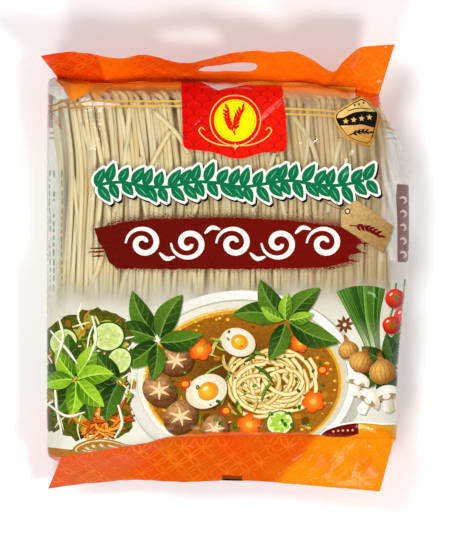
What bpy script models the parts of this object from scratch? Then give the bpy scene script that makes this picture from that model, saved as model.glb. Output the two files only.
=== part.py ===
"""A film pack of thick dried rice vermicelli, lying on its back with the printed front up.

Metres, +Z up, +Y towards the top of the pack. The origin is at the centre of the pack's
footprint, on the surface that it lies on. The pack is one bag of film pulled tight round
one folded block of noodles: a puffed body, a wavy header with a hang slot at the top, and
a flatter sealed fin at the bottom. The whole bag is one closed solid.
"""

import math

import bpy
import bmesh
import numpy as np

# Driving dimensions of the puffed body. It is a little thicker in the middle than at its ends.
BODY_THICK = 0.046
END_FRONT_Z = 0.0450
BACK_SAG = 0.0022
HALF_WIDTH = 0.0975
SIDE_POWER = 5.2
FACE_POWER = 2.2

# Half widths of the body against the height up the pack, as (y, half width).
LEFT_WIDTHS = (
    (-0.104, 0.0900),
    (-0.096, 0.0962),
    (-0.088, 0.0972),
    (0.000, HALF_WIDTH),
    (0.094, 0.0970),
    (0.101, 0.0955),
    (0.104, 0.0910),
)
RIGHT_WIDTHS = (
    (-0.104, 0.0900),
    (-0.092, 0.0928),
    (-0.060, 0.0930),
    (-0.030, 0.0955),
    (0.020, 0.0997),
    (0.053, 0.0992),
    (0.068, 0.0960),
    (0.080, 0.0905),
    (0.092, 0.0840),
    (0.104, 0.0830),
)

# Side view of the body's ends. Each row is one ring of the skin, as the (y, z) of its
# front, of its sides and of its back, from the root of the fin inwards.
FOOT_END = (
    ((-0.0911, 0.0372), (-0.0917, 0.0363), (-0.0922, 0.0353)),
    ((-0.0907, 0.0393), (-0.0915, 0.0340), (-0.0957, 0.0285)),
    ((-0.0897, 0.0414), (-0.0912, 0.0312), (-0.0985, 0.0205)),
    ((-0.0876, 0.0432), (-0.0905, 0.0282), (-0.0995, 0.0120)),
    ((-0.0841, 0.0444), (-0.0890, 0.0256), (-0.0975, 0.0050)),
    ((-0.0790, 0.0449), (-0.0855, 0.0238), (-0.0925, 0.0010)),
)
HEAD_END = (
    ((0.0980, 0.0258), (0.0983, 0.0248), (0.0986, 0.0238)),
    ((0.0982, 0.0300), (0.0982, 0.0247), (0.1002, 0.0200)),
    ((0.0975, 0.0355), (0.0978, 0.0244), (0.1010, 0.0145)),
    ((0.0950, 0.0405), (0.0968, 0.0240), (0.1000, 0.0085)),
    ((0.0905, 0.0437), (0.0940, 0.0236), (0.0965, 0.0035)),
    ((0.0850, 0.0450), (0.0880, 0.0232), (0.0900, 0.0010)),
)
# How fast the corners close from the body's width to a fin's, ring by ring towards its root.
CORNER_POWER = 3.2
BODY_RINGS = 14

# How far each end is pushed along Y across the pack, as (share across, push).
FOOT_BOW = ((-1.0, -0.0075), (-0.5, -0.0030), (-0.25, 0.0), (0.25, 0.0004), (1.0, -0.0010))
HEAD_BOW = ((-1.0, 0.0030), (1.0, -0.0030))

# Header: a sealed fin above the body, with its far edge as (x, y).
HEADER_LENGTH = 0.0280
HEADER_EDGE = (
    (-0.0999, 0.1145),
    (-0.0832, 0.1166),
    (-0.0562, 0.1128),
    (-0.0450, 0.1146),
    (-0.0210, 0.1105),
    (0.0032, 0.1160),
    (0.0160, 0.1170),
    (0.0248, 0.1162),
    (0.0350, 0.1168),
    (0.0464, 0.1123),
    (0.0572, 0.1060),
    (0.0650, 0.1130),
    (0.0734, 0.1195),
    (0.0913, 0.1210),
)
HEADER_ROOT_LEFT = -0.0910
HEADER_ROOT_RIGHT = 0.0830

# Bottom fin, with its far edge as (x, y). It lies over the body's lower end.
FOOT_LENGTH = 0.0287
FOOT_EDGE = (
    (-0.0967, -0.1200),
    (-0.0720, -0.1166),
    (-0.0500, -0.1150),
    (-0.0200, -0.1161),
    (0.0080, -0.1152),
    (0.0400, -0.1175),
    (0.0832, -0.1210),
)
FOOT_ROOT_LEFT = -0.0890
FOOT_ROOT_RIGHT = 0.0908

FIN_THICK = 0.0015
FIN_RINGS = 7

# Hang slot through the header.
SLOT_LENGTH = 0.0318
SLOT_HEIGHT = 0.0054
SLOT_CENTRE = (0.0012, 0.1079)
SLOT_TURN = math.radians(3.0)
SLOT_CUT_DEPTH = 0.2
SLOT_END_SIDES = 12

RING_POINTS = 72
CURVE_SAMPLES = 4001
WELD = 1e-5
SHARP_ANGLE = math.radians(50.0)
FILM_COLOUR = (0.83, 0.72, 0.45, 1.0)
FILM_ROUGHNESS = 0.3


def clear_scene():
    """Removes what the start-up file holds."""
    for obj in list(bpy.data.objects):
        bpy.data.objects.remove(obj)


def new_collection(name):
    """A collection linked to the scene."""
    collection = bpy.data.collections.new(name)
    bpy.context.scene.collection.children.link(collection)
    return collection


def smooth_through(points, value):
    """A smooth curve through the points with no overshoot, read at value."""
    xs = np.array([p[0] for p in points])
    ys = np.array([p[1] for p in points])
    value = float(np.clip(value, xs[0], xs[-1]))
    steps = np.diff(ys) / np.diff(xs)
    slopes = np.zeros(len(xs))
    slopes[0], slopes[-1] = steps[0], steps[-1]
    for i in range(1, len(xs) - 1):
        before, after = steps[i - 1], steps[i]
        if before * after > 0:
            slopes[i] = 2 * before * after / (before + after)
    i = int(np.clip(np.searchsorted(xs, value) - 1, 0, len(xs) - 2))
    gap = xs[i + 1] - xs[i]
    t = (value - xs[i]) / gap
    from_left = ys[i] * (1 + 2 * t) * (1 - t) ** 2 + slopes[i] * gap * t * (1 - t) ** 2
    from_right = ys[i + 1] * t * t * (3 - 2 * t) - slopes[i + 1] * gap * t * t * (1 - t)
    return from_left + from_right


def ring_shape():
    """Shares of half width and half depth round one ring: a rounded box curve in even steps."""
    angles = np.linspace(0, 2 * math.pi, CURVE_SAMPLES)
    across, deep = np.cos(angles), np.sin(angles)
    share_x = np.sign(across) * abs(across) ** (2 / SIDE_POWER)
    share_z = np.sign(deep) * abs(deep) ** (2 / FACE_POWER)
    steps = np.hypot(np.diff(share_x) * HALF_WIDTH, np.diff(share_z) * BODY_THICK / 2)
    length = np.concatenate([[0.0], np.cumsum(steps)])
    stops = (np.arange(RING_POINTS) + 0.5) / RING_POINTS * length[-1]
    return list(zip(np.interp(stops, length, share_x), np.interp(stops, length, share_z)))


def body_ring(front, side, back, end, closing=0.0):
    """One ring of the body through the front, side and back points of the side view.

    Closing is the share of the way from the body's own width to that of the end's fin.
    """
    middle_y = (front[0] + back[0]) / 2
    left = smooth_through(LEFT_WIDTHS, middle_y)
    right = smooth_through(RIGHT_WIDTHS, middle_y)
    left += (-end["left"] - left) * closing
    right += (end["right"] - right) * closing
    bend = float(np.clip(middle_y / end["rings"][-1][0][0], 0, 1)) ** 2
    ring = []
    for share_x, share_z in ring_shape():
        face = front if share_z > 0 else back
        x = share_x * (right if share_x > 0 else left)
        y = side[0] + (face[0] - side[0]) * abs(share_z)
        y += smooth_through(end["bow"], share_x) * bend
        z = side[1] + (face[1] - side[1]) * abs(share_z)
        ring.append((x, y, max(z, 0.0)))
    return ring


def end_rings(end):
    """Rings of one end of the body, from the fin's root inwards."""
    last = len(end["rings"]) - 1
    rings = []
    for k, (front, side, back) in enumerate(end["rings"]):
        closing = (1 - k / last) ** CORNER_POWER
        rings.append(body_ring(front, side, back, end, closing))
    return rings


def body_rings(foot, head):
    """Rings from the foot's root to the header's root."""
    low, high = foot["rings"][-1][0][0], head["rings"][-1][0][0]
    rings = end_rings(foot)
    for k in range(1, BODY_RINGS):
        share = k / BODY_RINGS
        y = low + (high - low) * share
        crown = math.sin(math.pi * share) ** 0.5
        front_z = END_FRONT_Z + (BODY_THICK - END_FRONT_Z) * crown
        back_z = -BACK_SAG * crown
        side = (y, (front_z + back_z) / 2)
        end = foot if y < 0 else head
        rings.append(body_ring((y, front_z), side, (y, back_z), end))
    rings += reversed(end_rings(head))
    return rings


def fin_point(across, out, end):
    """Point and tilt of a fin's middle sheet, at a share across it and a share out from its root."""
    root = end["rings"][0][1]
    root_x = end["left"] + (end["right"] - end["left"]) * across
    root_y = root[0] + smooth_through(end["bow"], 2 * across - 1)
    left_x, right_x = end["edge"][0][0], end["edge"][-1][0]
    edge_x = left_x + (right_x - left_x) * across
    reach = min(abs(smooth_through(end["edge"], edge_x) - root_y), end["length"])
    rise = math.sqrt(end["length"] ** 2 - reach ** 2) * end["way"]
    x = root_x + (edge_x - root_x) * out
    y = root_y + end["way"] * reach * out
    z = root[1] + rise * out
    return (x, y, z), math.atan2(rise, reach)


def fin_ring(out, end):
    """One ring round a fin at a share of the way from its root to its far edge."""
    ring = []
    for share_x, share_z in ring_shape():
        (x, y, z), tilt = fin_point((share_x + 1) / 2, out, end)
        aside = share_z * FIN_THICK / 2
        y -= end["way"] * aside * math.sin(tilt)
        z += aside * math.cos(tilt)
        ring.append((x, y, z))
    return ring


def skin_mesh(rings):
    """A closed mesh through the rings, capped at both ends."""
    mesh = bmesh.new()
    rows = [[mesh.verts.new(point) for point in ring] for ring in rings]
    for before, after in zip(rows, rows[1:]):
        for k in range(RING_POINTS):
            n = (k + 1) % RING_POINTS
            mesh.faces.new((before[k], before[n], after[n], after[k]))
    for row in (rows[0], rows[-1]):
        half = RING_POINTS // 2
        for k in range(half - 1):
            mesh.faces.new((row[k], row[k + 1], row[-k - 2], row[-k - 1]))
    bmesh.ops.recalc_face_normals(mesh, faces=mesh.faces)
    return mesh


def slot_cutter(collection):
    """A bar with round ends that cuts the hang slot straight down through the header."""
    half = (SLOT_LENGTH - SLOT_HEIGHT) / 2
    curve = bpy.data.curves.new("slot_outline", "CURVE")
    curve.dimensions = "2D"
    curve.fill_mode = "BOTH"
    curve.extrude = SLOT_CUT_DEPTH / 2
    outline = []
    for side in (1, -1):
        for k in range(SLOT_END_SIDES + 1):
            angle = side * math.pi / 2 - math.pi * k / SLOT_END_SIDES
            x = side * half + SLOT_HEIGHT / 2 * math.cos(angle)
            outline.append((x, SLOT_HEIGHT / 2 * math.sin(angle)))
    spline = curve.splines.new("POLY")
    spline.points.add(len(outline) - 1)
    for point, (x, y) in zip(spline.points, outline):
        point.co = (x, y, 0, 1)
    spline.use_cyclic_u = True
    guide = bpy.data.objects.new("slot_guide", curve)
    collection.objects.link(guide)
    guide.location = (*SLOT_CENTRE, 0)
    guide.rotation_euler = (0, 0, SLOT_TURN)
    bpy.context.view_layer.update()
    graph = bpy.context.evaluated_depsgraph_get()
    solid = bpy.data.meshes.new_from_object(guide.evaluated_get(graph))
    welded = bmesh.new()
    welded.from_mesh(solid)
    bmesh.ops.remove_doubles(welded, verts=welded.verts, dist=WELD)
    bmesh.ops.recalc_face_normals(welded, faces=welded.faces)
    welded.to_mesh(solid)
    welded.free()
    cutter = bpy.data.objects.new("slot_cutter", solid)
    cutter.matrix_world = guide.matrix_world
    collection.objects.link(cutter)
    bpy.data.objects.remove(guide)
    cutter.hide_render = True
    cutter.display_type = "WIRE"
    return cutter


def film_material():
    """The bag as one plain solid: cream noodles seen through glossy film."""
    material = bpy.data.materials.new("film_and_noodles")
    material.use_nodes = True
    shader = material.node_tree.nodes["Principled BSDF"]
    shader.inputs["Base Color"].default_value = FILM_COLOUR
    shader.inputs["Roughness"].default_value = FILM_ROUGHNESS
    shader.inputs["Metallic"].default_value = 0.0
    return material


def centre_on_footprint(mesh):
    """Puts the origin at the middle of the footprint, on the surface below."""
    points = np.array([v.co[:] for v in mesh.verts])
    low, high = points.min(axis=0), points.max(axis=0)
    shift = ((low[0] + high[0]) / 2, (low[1] + high[1]) / 2, low[2])
    for vert in mesh.verts:
        vert.co.x -= shift[0]
        vert.co.y -= shift[1]
        vert.co.z -= shift[2]
    return shift


def cut_out(solid, cutter):
    """Takes the cutter out of the solid, and keeps the cut's own edges crisp."""
    cut = solid.modifiers.new("hang_slot", "BOOLEAN")
    cut.operation = "DIFFERENCE"
    cut.solver = "EXACT"
    cut.object = cutter
    bpy.context.view_layer.update()
    graph = bpy.context.evaluated_depsgraph_get()
    data = bpy.data.meshes.new_from_object(solid.evaluated_get(graph))
    solid.modifiers.remove(cut)
    solid.data = data
    data.shade_smooth()
    data.set_sharp_from_angle(angle=SHARP_ANGLE)


def build_pack(parts, cutters):
    """The whole bag: foot fin, body and header as one skin, with the hang slot cut out."""
    head = {
        "rings": HEAD_END, "bow": HEAD_BOW, "edge": HEADER_EDGE, "length": HEADER_LENGTH,
        "left": HEADER_ROOT_LEFT, "right": HEADER_ROOT_RIGHT, "way": 1,
    }
    foot = {
        "rings": FOOT_END, "bow": FOOT_BOW, "edge": FOOT_EDGE, "length": FOOT_LENGTH,
        "left": FOOT_ROOT_LEFT, "right": FOOT_ROOT_RIGHT, "way": -1,
    }
    outwards = [k / FIN_RINGS for k in range(1, FIN_RINGS + 1)]
    rings = [fin_ring(out, foot) for out in reversed(outwards)]
    rings += body_rings(foot, head)
    rings += [fin_ring(out, head) for out in outwards]
    mesh = skin_mesh(rings)
    shift = centre_on_footprint(mesh)
    data = bpy.data.meshes.new("noodle_pack")
    mesh.to_mesh(data)
    mesh.free()
    data.materials.append(film_material())
    pack = bpy.data.objects.new("noodle_pack", data)
    parts.objects.link(pack)
    cutter = slot_cutter(cutters)
    cutter.location.x -= shift[0]
    cutter.location.y -= shift[1]
    cut_out(pack, cutter)


def main():
    clear_scene()
    parts = new_collection("noodle_pack")
    cutters = new_collection("cutters")
    build_pack(parts, cutters)


main()
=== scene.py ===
"""Looks of a clear film pack of thick dried rice vermicelli, lying on its back, front up.

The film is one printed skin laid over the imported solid's own form: a puffed body, a wavy
header with a hang slot, and a sealed fin at the foot. The noodles inside are real strands.
Plan sizes below are millimetres seen from above, +Y towards the header. Meshes are metres.
"""

import math

import bpy
import numpy as np
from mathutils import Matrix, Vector, geometry, kdtree

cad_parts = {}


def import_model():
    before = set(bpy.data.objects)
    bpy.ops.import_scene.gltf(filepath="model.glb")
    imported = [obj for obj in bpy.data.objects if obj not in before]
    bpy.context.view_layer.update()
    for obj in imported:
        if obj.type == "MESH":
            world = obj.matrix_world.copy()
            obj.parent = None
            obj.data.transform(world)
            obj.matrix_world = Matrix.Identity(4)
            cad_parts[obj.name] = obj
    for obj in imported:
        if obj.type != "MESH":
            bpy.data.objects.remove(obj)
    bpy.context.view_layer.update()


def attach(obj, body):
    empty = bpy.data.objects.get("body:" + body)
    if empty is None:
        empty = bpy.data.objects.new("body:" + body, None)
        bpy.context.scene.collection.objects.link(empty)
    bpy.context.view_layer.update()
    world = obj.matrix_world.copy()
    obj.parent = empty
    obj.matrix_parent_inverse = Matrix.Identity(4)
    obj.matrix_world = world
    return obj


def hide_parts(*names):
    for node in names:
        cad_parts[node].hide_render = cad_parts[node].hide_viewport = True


MM = 0.001

# The body of the pack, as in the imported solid, in metres.
BODY_THICK = 0.046
END_FRONT_Z = 0.0450
BACK_SAG = 0.0022
HALF_WIDTH = 0.0975
SIDE_POWER = 5.2
FACE_POWER = 2.2
LEFT_WIDTHS = (
    (-0.104, 0.0900), (-0.096, 0.0962), (-0.088, 0.0972), (0.000, HALF_WIDTH),
    (0.094, 0.0970), (0.101, 0.0955), (0.104, 0.0910),
)
RIGHT_WIDTHS = (
    (-0.104, 0.0900), (-0.092, 0.0928), (-0.060, 0.0930), (-0.030, 0.0955), (0.020, 0.0997),
    (0.053, 0.0992), (0.068, 0.0960), (0.080, 0.0905), (0.092, 0.0840), (0.104, 0.0830),
)
FOOT_END = (
    ((-0.0911, 0.0372), (-0.0917, 0.0363), (-0.0922, 0.0353)),
    ((-0.0907, 0.0393), (-0.0915, 0.0340), (-0.0957, 0.0285)),
    ((-0.0897, 0.0414), (-0.0912, 0.0312), (-0.0985, 0.0205)),
    ((-0.0876, 0.0432), (-0.0905, 0.0282), (-0.0995, 0.0120)),
    ((-0.0841, 0.0444), (-0.0890, 0.0256), (-0.0975, 0.0050)),
    ((-0.0790, 0.0449), (-0.0855, 0.0238), (-0.0925, 0.0010)),
)
HEAD_END = (
    ((0.0980, 0.0258), (0.0983, 0.0248), (0.0986, 0.0238)),
    ((0.0982, 0.0300), (0.0982, 0.0247), (0.1002, 0.0200)),
    ((0.0975, 0.0355), (0.0978, 0.0244), (0.1010, 0.0145)),
    ((0.0950, 0.0405), (0.0968, 0.0240), (0.1000, 0.0085)),
    ((0.0905, 0.0437), (0.0940, 0.0236), (0.0965, 0.0035)),
    ((0.0850, 0.0450), (0.0880, 0.0232), (0.0900, 0.0010)),
)
CORNER_POWER = 3.2
BODY_RINGS = 14
FOOT_BOW = (
    (-1.0, -0.0102), (-0.8, -0.0078), (-0.5, -0.0036), (-0.25, -0.0004), (0.25, 0.0004), (1.0, -0.0010),
)
HEAD_BOW = (
    (-1.0, 0.0044), (-0.86, 0.0032), (-0.68, 0.0014), (-0.50, 0.0022), (-0.25, 0.0026), (0.0, 0.0020),
    (0.30, 0.0012), (0.56, 0.0006), (0.72, -0.0014), (0.86, -0.0036), (1.0, -0.0044),
)

# The two fins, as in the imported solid, in metres.
HEADER_LENGTH = 0.0280
HEADER_EDGE = (
    (-0.0999, 0.1145), (-0.0832, 0.1166), (-0.0562, 0.1128), (-0.0450, 0.1146),
    (-0.0210, 0.1105), (0.0032, 0.1160), (0.0160, 0.1170), (0.0248, 0.1162),
    (0.0350, 0.1168), (0.0464, 0.1123), (0.0572, 0.1060), (0.0650, 0.1130),
    (0.0734, 0.1195), (0.0913, 0.1210),
)
HEADER_ROOT = (-0.0910, 0.0830)
FOOT_LENGTH = 0.0287
FOOT_EDGE = (
    (-0.0967, -0.1200), (-0.0720, -0.1166), (-0.0500, -0.1150), (-0.0200, -0.1161),
    (0.0080, -0.1152), (0.0400, -0.1175), (0.0832, -0.1210),
)
FOOT_ROOT = (-0.0890, 0.0908)
SLOT_OUTLINE = (
    (-14.9, 106.7), (-11.1, 108.2), (-6.4, 109.2), (-2.7, 109.7), (0.3, 110.3), (4.9, 110.8), (12.9, 110.9),
    (15.6, 110.4), (17.2, 109.0), (16.0, 107.3), (12.9, 106.4), (4.9, 106.4), (-0.5, 106.5), (-6.5, 106.1),
    (-12.4, 105.8), (-14.4, 106.1),
)

# Film, in metres where it is geometry.
FIN_HALF = 0.0003
ROOT_BLEND = 0.14
SIDE_START = 0.86
GROOVE_START = 0.965
GROOVE_DEPTH = 0.0013
FLOOR_GAP = 0.0001
NORMAL_STEP = 0.0004
END_FADE_MM = 5
TUCK_FADE_MM = 22
SEAM_HALF_MM = 6
FRONT_STEP = 1.9
BACK_STEP = 2.2
FIN_STEP = 1.3
OUTLINE_STEP = 2.3
GRID_CLEAR = 0.45

# Parts of the image that the bake paints, as left, foot, right and top.
WHOLE_IMAGE = (0.005, 0.005, 0.995, 0.995)
TOP_OF_IMAGE = (0.005, 0.505, 0.995, 0.995)
FOOT_OF_IMAGE = (0.005, 0.005, 0.995, 0.495)
TUCK_IMAGE = (0.01, 0.01, 0.99, 0.99)

# One strand's own part of the image: the size and margin of its unrolled sides, and where its ends lie.
STRIP_SIZE = (0.84, 0.94)
STRIP_MARGIN = (0.08, 0.03)
STRIP_ENDS = (0.014, 0.986)

# Photo view: the camera looks straight down from here, and the picture's long side is this long.
VIEW_CENTRE = (0.00135, -0.0027)
VIEW_LONG_SIDE = 0.2948
VIEW_FOCUS_Z = 0.040
VIEW_DISTANCE = 4.0
SENSOR = 36.0

# Lamps as name, place, size and watts, and the height of the point that they face.
LAMPS = (
    ("key", (-0.55, 0.50, 1.20), 0.50, 8.1),
    ("fill", (0.65, -0.45, 1.15), 0.24, 7.5),
    ("low", (-0.30, -0.85, 1.05), 0.32, 6.3),
)
LAMP_AIM_Z = 0.03
SKY_COLOUR = (0.95, 0.97, 1.0, 1)
SKY_STRENGTH = 0.33
FLOOR_HALF = 4.0


def rgb(red, green, blue):
    """A screen colour of 0 to 255 as the linear numbers that shaders read."""
    share = np.array([red, green, blue], float) / 255
    return np.where(share <= 0.04045, share / 12.92, ((share + 0.055) / 1.055) ** 2.4)


def rgba(red, green, blue):
    """The same colour, opaque."""
    return (*rgb(red, green, blue), 1)


# Colours of the print.
ORANGE = rgb(236, 84, 0)
# DEEP_ORANGE and FOOT_DEEP are the painted shade of the header's and foot's orange; BRIGHT_ORANGE and
# FOOT_GOLD are their painted light.
DEEP_ORANGE = rgb(226, 56, 0)
BRIGHT_ORANGE = rgb(250, 106, 0)
FOOT_ORANGE = rgb(211, 80, 0)
FOOT_DEEP = rgb(222, 66, 0)
FOOT_GOLD = rgb(236, 130, 0)
AMBER = rgb(222, 138, 44)
RED = rgb(240, 20, 4)
DARK_RED = rgb(212, 6, 2)
YELLOW = rgb(255, 228, 0)
GOLD = rgb(224, 178, 72)
DEEP_GOLD = rgb(171, 109, 30)
LIGHT_GOLD = rgb(240, 190, 96)
MAROON = rgb(102, 9, 4)
GREEN = rgb(5, 110, 63)
WHITE = rgb(243, 240, 228)
GROUND = rgb(221, 218, 200)
INK_BLACK = rgb(24, 18, 14)
SHADOW = rgb(60, 46, 30)
OCHRE = rgb(163, 110, 34)
HAZE = rgb(203, 205, 190)

# The kinds of ink through which the noodles show.
SEEN_THROUGH = ("film", "soft_ink", "dry_ink")

# A plan length in millimetres that is past every edge of the pack.
FAR = 130

# Patterns in millimetres of film, and how strongly each film's small creases show.
FAN_WIDTH = 8.7
FAN_RISE = 4.0
FAN_RADIUS = 4.35
CIRCLE_RADIUS = 5.7
CIRCLE_LINE = 0.55
FILM_BUMP = 0.32
THIN_INK_BUMP = 0.22
INK_BUMP = 0.30
ORANGE_BUMP = 0.5
INK_ROUGHNESS = 0.12
ORANGE_ROUGHNESS = 0.14
INK_IOR = 1.30
INK_SHEEN = 0.35

# The clear film: how milky it is, and how its mirror grows from straight on to a slant.
FILM_MILK = 0.022
FILM_ROUGHNESS = 0.07
MIRROR_POWER = 4.5
MIRROR_RISE = 0.85
MIRROR_BASE = 0.048


def smooth_curve(points):
    """A function that reads a smooth curve through the points, with no overshoot."""
    xs, ys = np.array(points, float).T
    steps = np.diff(ys) / np.diff(xs)
    slopes = np.concatenate([steps[:1], np.zeros(len(xs) - 2), steps[-1:]])
    both = steps[:-1] * steps[1:]
    alike = both > 0
    slopes[1:-1][alike] = 2 * both[alike] / (steps[:-1] + steps[1:])[alike]

    def read(value):
        value = np.clip(value, xs[0], xs[-1])
        i = np.clip(np.searchsorted(xs, value) - 1, 0, len(xs) - 2)
        gap = xs[i + 1] - xs[i]
        t = (value - xs[i]) / gap
        from_left = ys[i] * (1 + 2 * t) * (1 - t) ** 2 + slopes[i] * gap * t * (1 - t) ** 2
        from_right = ys[i + 1] * t * t * (3 - 2 * t) - slopes[i + 1] * gap * t * t * (1 - t)
        return from_left + from_right

    return read


def smooth_step(value, low, high):
    """From 0 at low to 1 at high, with soft ends."""
    t = np.clip((value - low) / (high - low), 0, 1)
    return t * t * (3 - 2 * t)


def quarter_ring():
    """Shares of half width and half depth from the middle of a face to the side, by length."""
    angles = np.linspace(math.pi / 2, 0, 3001)
    share_x = np.clip(np.cos(angles), 0, 1) ** (2 / SIDE_POWER)
    share_z = np.clip(np.sin(angles), 0, 1) ** (2 / FACE_POWER)
    share_x[0], share_z[-1] = 0, 0
    steps = np.hypot(np.diff(share_x) * HALF_WIDTH, np.diff(share_z) * BODY_THICK / 2)
    return share_x, share_z, np.concatenate([[0.0], np.cumsum(steps)])


RING_X, RING_Z, RING_LENGTH = quarter_ring()
HALF_ARC = RING_LENGTH[-1]


def side_rows():
    """The body's rings as rows of front y z, side y z, back y z and corner closing, foot first."""
    last = len(FOOT_END) - 1
    foot = [(*f, *s, *b, (1 - k / last) ** CORNER_POWER) for k, (f, s, b) in enumerate(FOOT_END)]
    head = [(*f, *s, *b, (1 - k / last) ** CORNER_POWER) for k, (f, s, b) in enumerate(HEAD_END)]
    low, high = FOOT_END[-1][0][0], HEAD_END[-1][0][0]
    middle = []
    for k in range(1, BODY_RINGS):
        y = low + (high - low) * k / BODY_RINGS
        crown = math.sin(math.pi * k / BODY_RINGS) ** 0.5
        front_z = END_FRONT_Z + (BODY_THICK - END_FRONT_Z) * crown
        back_z = -BACK_SAG * crown
        middle.append((y, front_z, y, (front_z + back_z) / 2, y, back_z, 0.0))
    return np.array(foot + middle + head[::-1])


def lengths_along(rows, column):
    """Length along one line of the side view, 0 where it crosses the middle of the pack."""
    steps = np.hypot(np.diff(rows[:, column]), np.diff(rows[:, column + 1]))
    length = np.concatenate([[0.0], np.cumsum(steps)])
    middle = len(rows) // 2
    zero = np.interp(0.0, rows[middle - 3:middle + 4, column], length[middle - 3:middle + 4])
    return length - zero


ROWS = side_rows()
FRONT_LENGTH = lengths_along(ROWS, 0)
BACK_LENGTH = lengths_along(ROWS, 4)
SIDE_VIEW = [smooth_curve(list(zip(FRONT_LENGTH, ROWS[:, c]))) for c in range(ROWS.shape[1])]
LEFT_WIDTH, RIGHT_WIDTH = smooth_curve(LEFT_WIDTHS), smooth_curve(RIGHT_WIDTHS)
FOOT_BOWED, HEAD_BOWED = smooth_curve(FOOT_BOW), smooth_curve(HEAD_BOW)


def ring_shares(u):
    """Shares of half width and half depth at a length across the film from its middle."""
    far = np.clip(np.abs(u), 0, HALF_ARC)
    return np.sign(u) * np.interp(far, RING_LENGTH, RING_X), np.interp(far, RING_LENGTH, RING_Z)


def ring_point(share_x, share_z, q, way):
    """Points of the body's bare form: q is the length along the front's middle line."""
    front_y, front_z, side_y, side_z, back_y, back_z, closing = (read(q) for read in SIDE_VIEW)
    middle = (front_y + back_y) / 2
    at_foot = middle < 0
    left, right = LEFT_WIDTH(middle), RIGHT_WIDTH(middle)
    left = left + (np.where(at_foot, -FOOT_ROOT[0], -HEADER_ROOT[0]) - left) * closing
    right = right + (np.where(at_foot, FOOT_ROOT[1], HEADER_ROOT[1]) - right) * closing
    inner = np.where(at_foot, FOOT_END[-1][0][0], HEAD_END[-1][0][0])
    bend = np.clip(middle / inner, 0, 1) ** 2
    face_y, face_z = (front_y, front_z) if way > 0 else (back_y, back_z)
    x = share_x * np.where(share_x > 0, right, left)
    y = side_y + (face_y - side_y) * share_z
    y = y + np.where(at_foot, FOOT_BOWED(share_x), HEAD_BOWED(share_x)) * bend
    z = np.maximum(side_z + (face_z - side_z) * share_z, 0)
    return np.stack([x, y, z], axis=-1)


class Waves:
    """Soft random waves over the plan: a sum of sines with fixed seeds. Read in millimetres."""

    def __init__(self, seed, count, shortest, longest, squeeze=1.0):
        draw = np.random.default_rng(seed)
        lengths = draw.uniform(shortest, longest, count)
        turns = draw.uniform(0, math.pi, count)
        self.across = 2 * math.pi / lengths * np.cos(turns)
        self.along = 2 * math.pi / lengths * np.sin(turns) * squeeze
        self.start = draw.uniform(0, 2 * math.pi, count)

    def __call__(self, x, y):
        total = np.zeros_like(x)
        for across, along, start in zip(self.across, self.along, self.start):
            total = total + np.sin(across * x + along * y + start)
        return total / math.sqrt(len(self.start))


SLOW_WAVES = Waves(3, 9, 34, 70)
QUICK_WAVES = Waves(5, 14, 11, 22)
GATHER_WAVES = Waves(9, 8, 7, 13, squeeze=0.12)
TONE_WAVES = Waves(12, 10, 16, 44)

# Creases of the front film, as start x y, end x y, height and half breadth, in millimetres.
FRONT_CREASES = (
    (75.5, 70.0, 62.0, 49.0, 1.30, 2.0),
    (95.5, 51.5, 84.0, 36.5, 1.30, 2.1),
    (85.0, 37.5, 72.5, 23.0, 1.20, 2.0),
    (11.9, 59.4, 25.4, 52.9, 0.70, 1.6),
    (38.3, 66.4, 53.5, 72.4, 0.75, 1.6),
    (35.6, 63.7, 41.6, 63.2, 0.50, 1.1),
    (66.0, -55.0, 80.4, -61.6, 0.80, 1.6),
    (39.0, -74.2, 57.2, -72.2, 0.75, 1.6),
    (-20.0, 72.0, -4.0, 94.0, 0.40, 1.9),
    (16.0, 76.0, 32.0, 94.0, 0.55, 1.9),
    (21.0, 70.5, 38.0, 72.0, 0.40, 1.2),
    (-92.0, -80.0, -83.0, -96.0, 0.60, 1.2),
    (-94.0, -62.0, -88.0, -84.0, 0.50, 1.1),
    (-97.0, 100.0, -83.0, 90.0, 1.00, 1.4),
    (-86.0, 97.0, -81.0, 86.0, 0.80, 1.1),
    (62.0, 94.0, 78.0, 83.0, 0.90, 1.4),
    (70.0, 97.0, 88.0, 78.0, 0.80, 1.3),
    (84.0, 91.0, 95.0, 62.0, 0.90, 1.4),
    (87.0, 70.0, 93.0, 40.0, 0.70, 1.2),
    (90.0, 84.0, 97.0, 48.0, 0.70, 1.2),
    (-60.0, -14.0, -30.0, -22.0, 0.30, 1.6),
    (60.0, 8.0, 88.0, -20.0, 0.45, 1.5),
    (-88.0, 30.0, -84.0, -10.0, 0.45, 1.4),
    (-95.0, 70.0, -91.0, 20.0, 0.50, 1.2),
    (-91.0, 80.0, -88.0, 44.0, 0.45, 1.1),
    (-30.0, 30.0, -24.0, 56.0, 0.30, 1.4),
    (84.0, -30.0, 94.0, -64.0, 0.60, 1.2),
)
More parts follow.
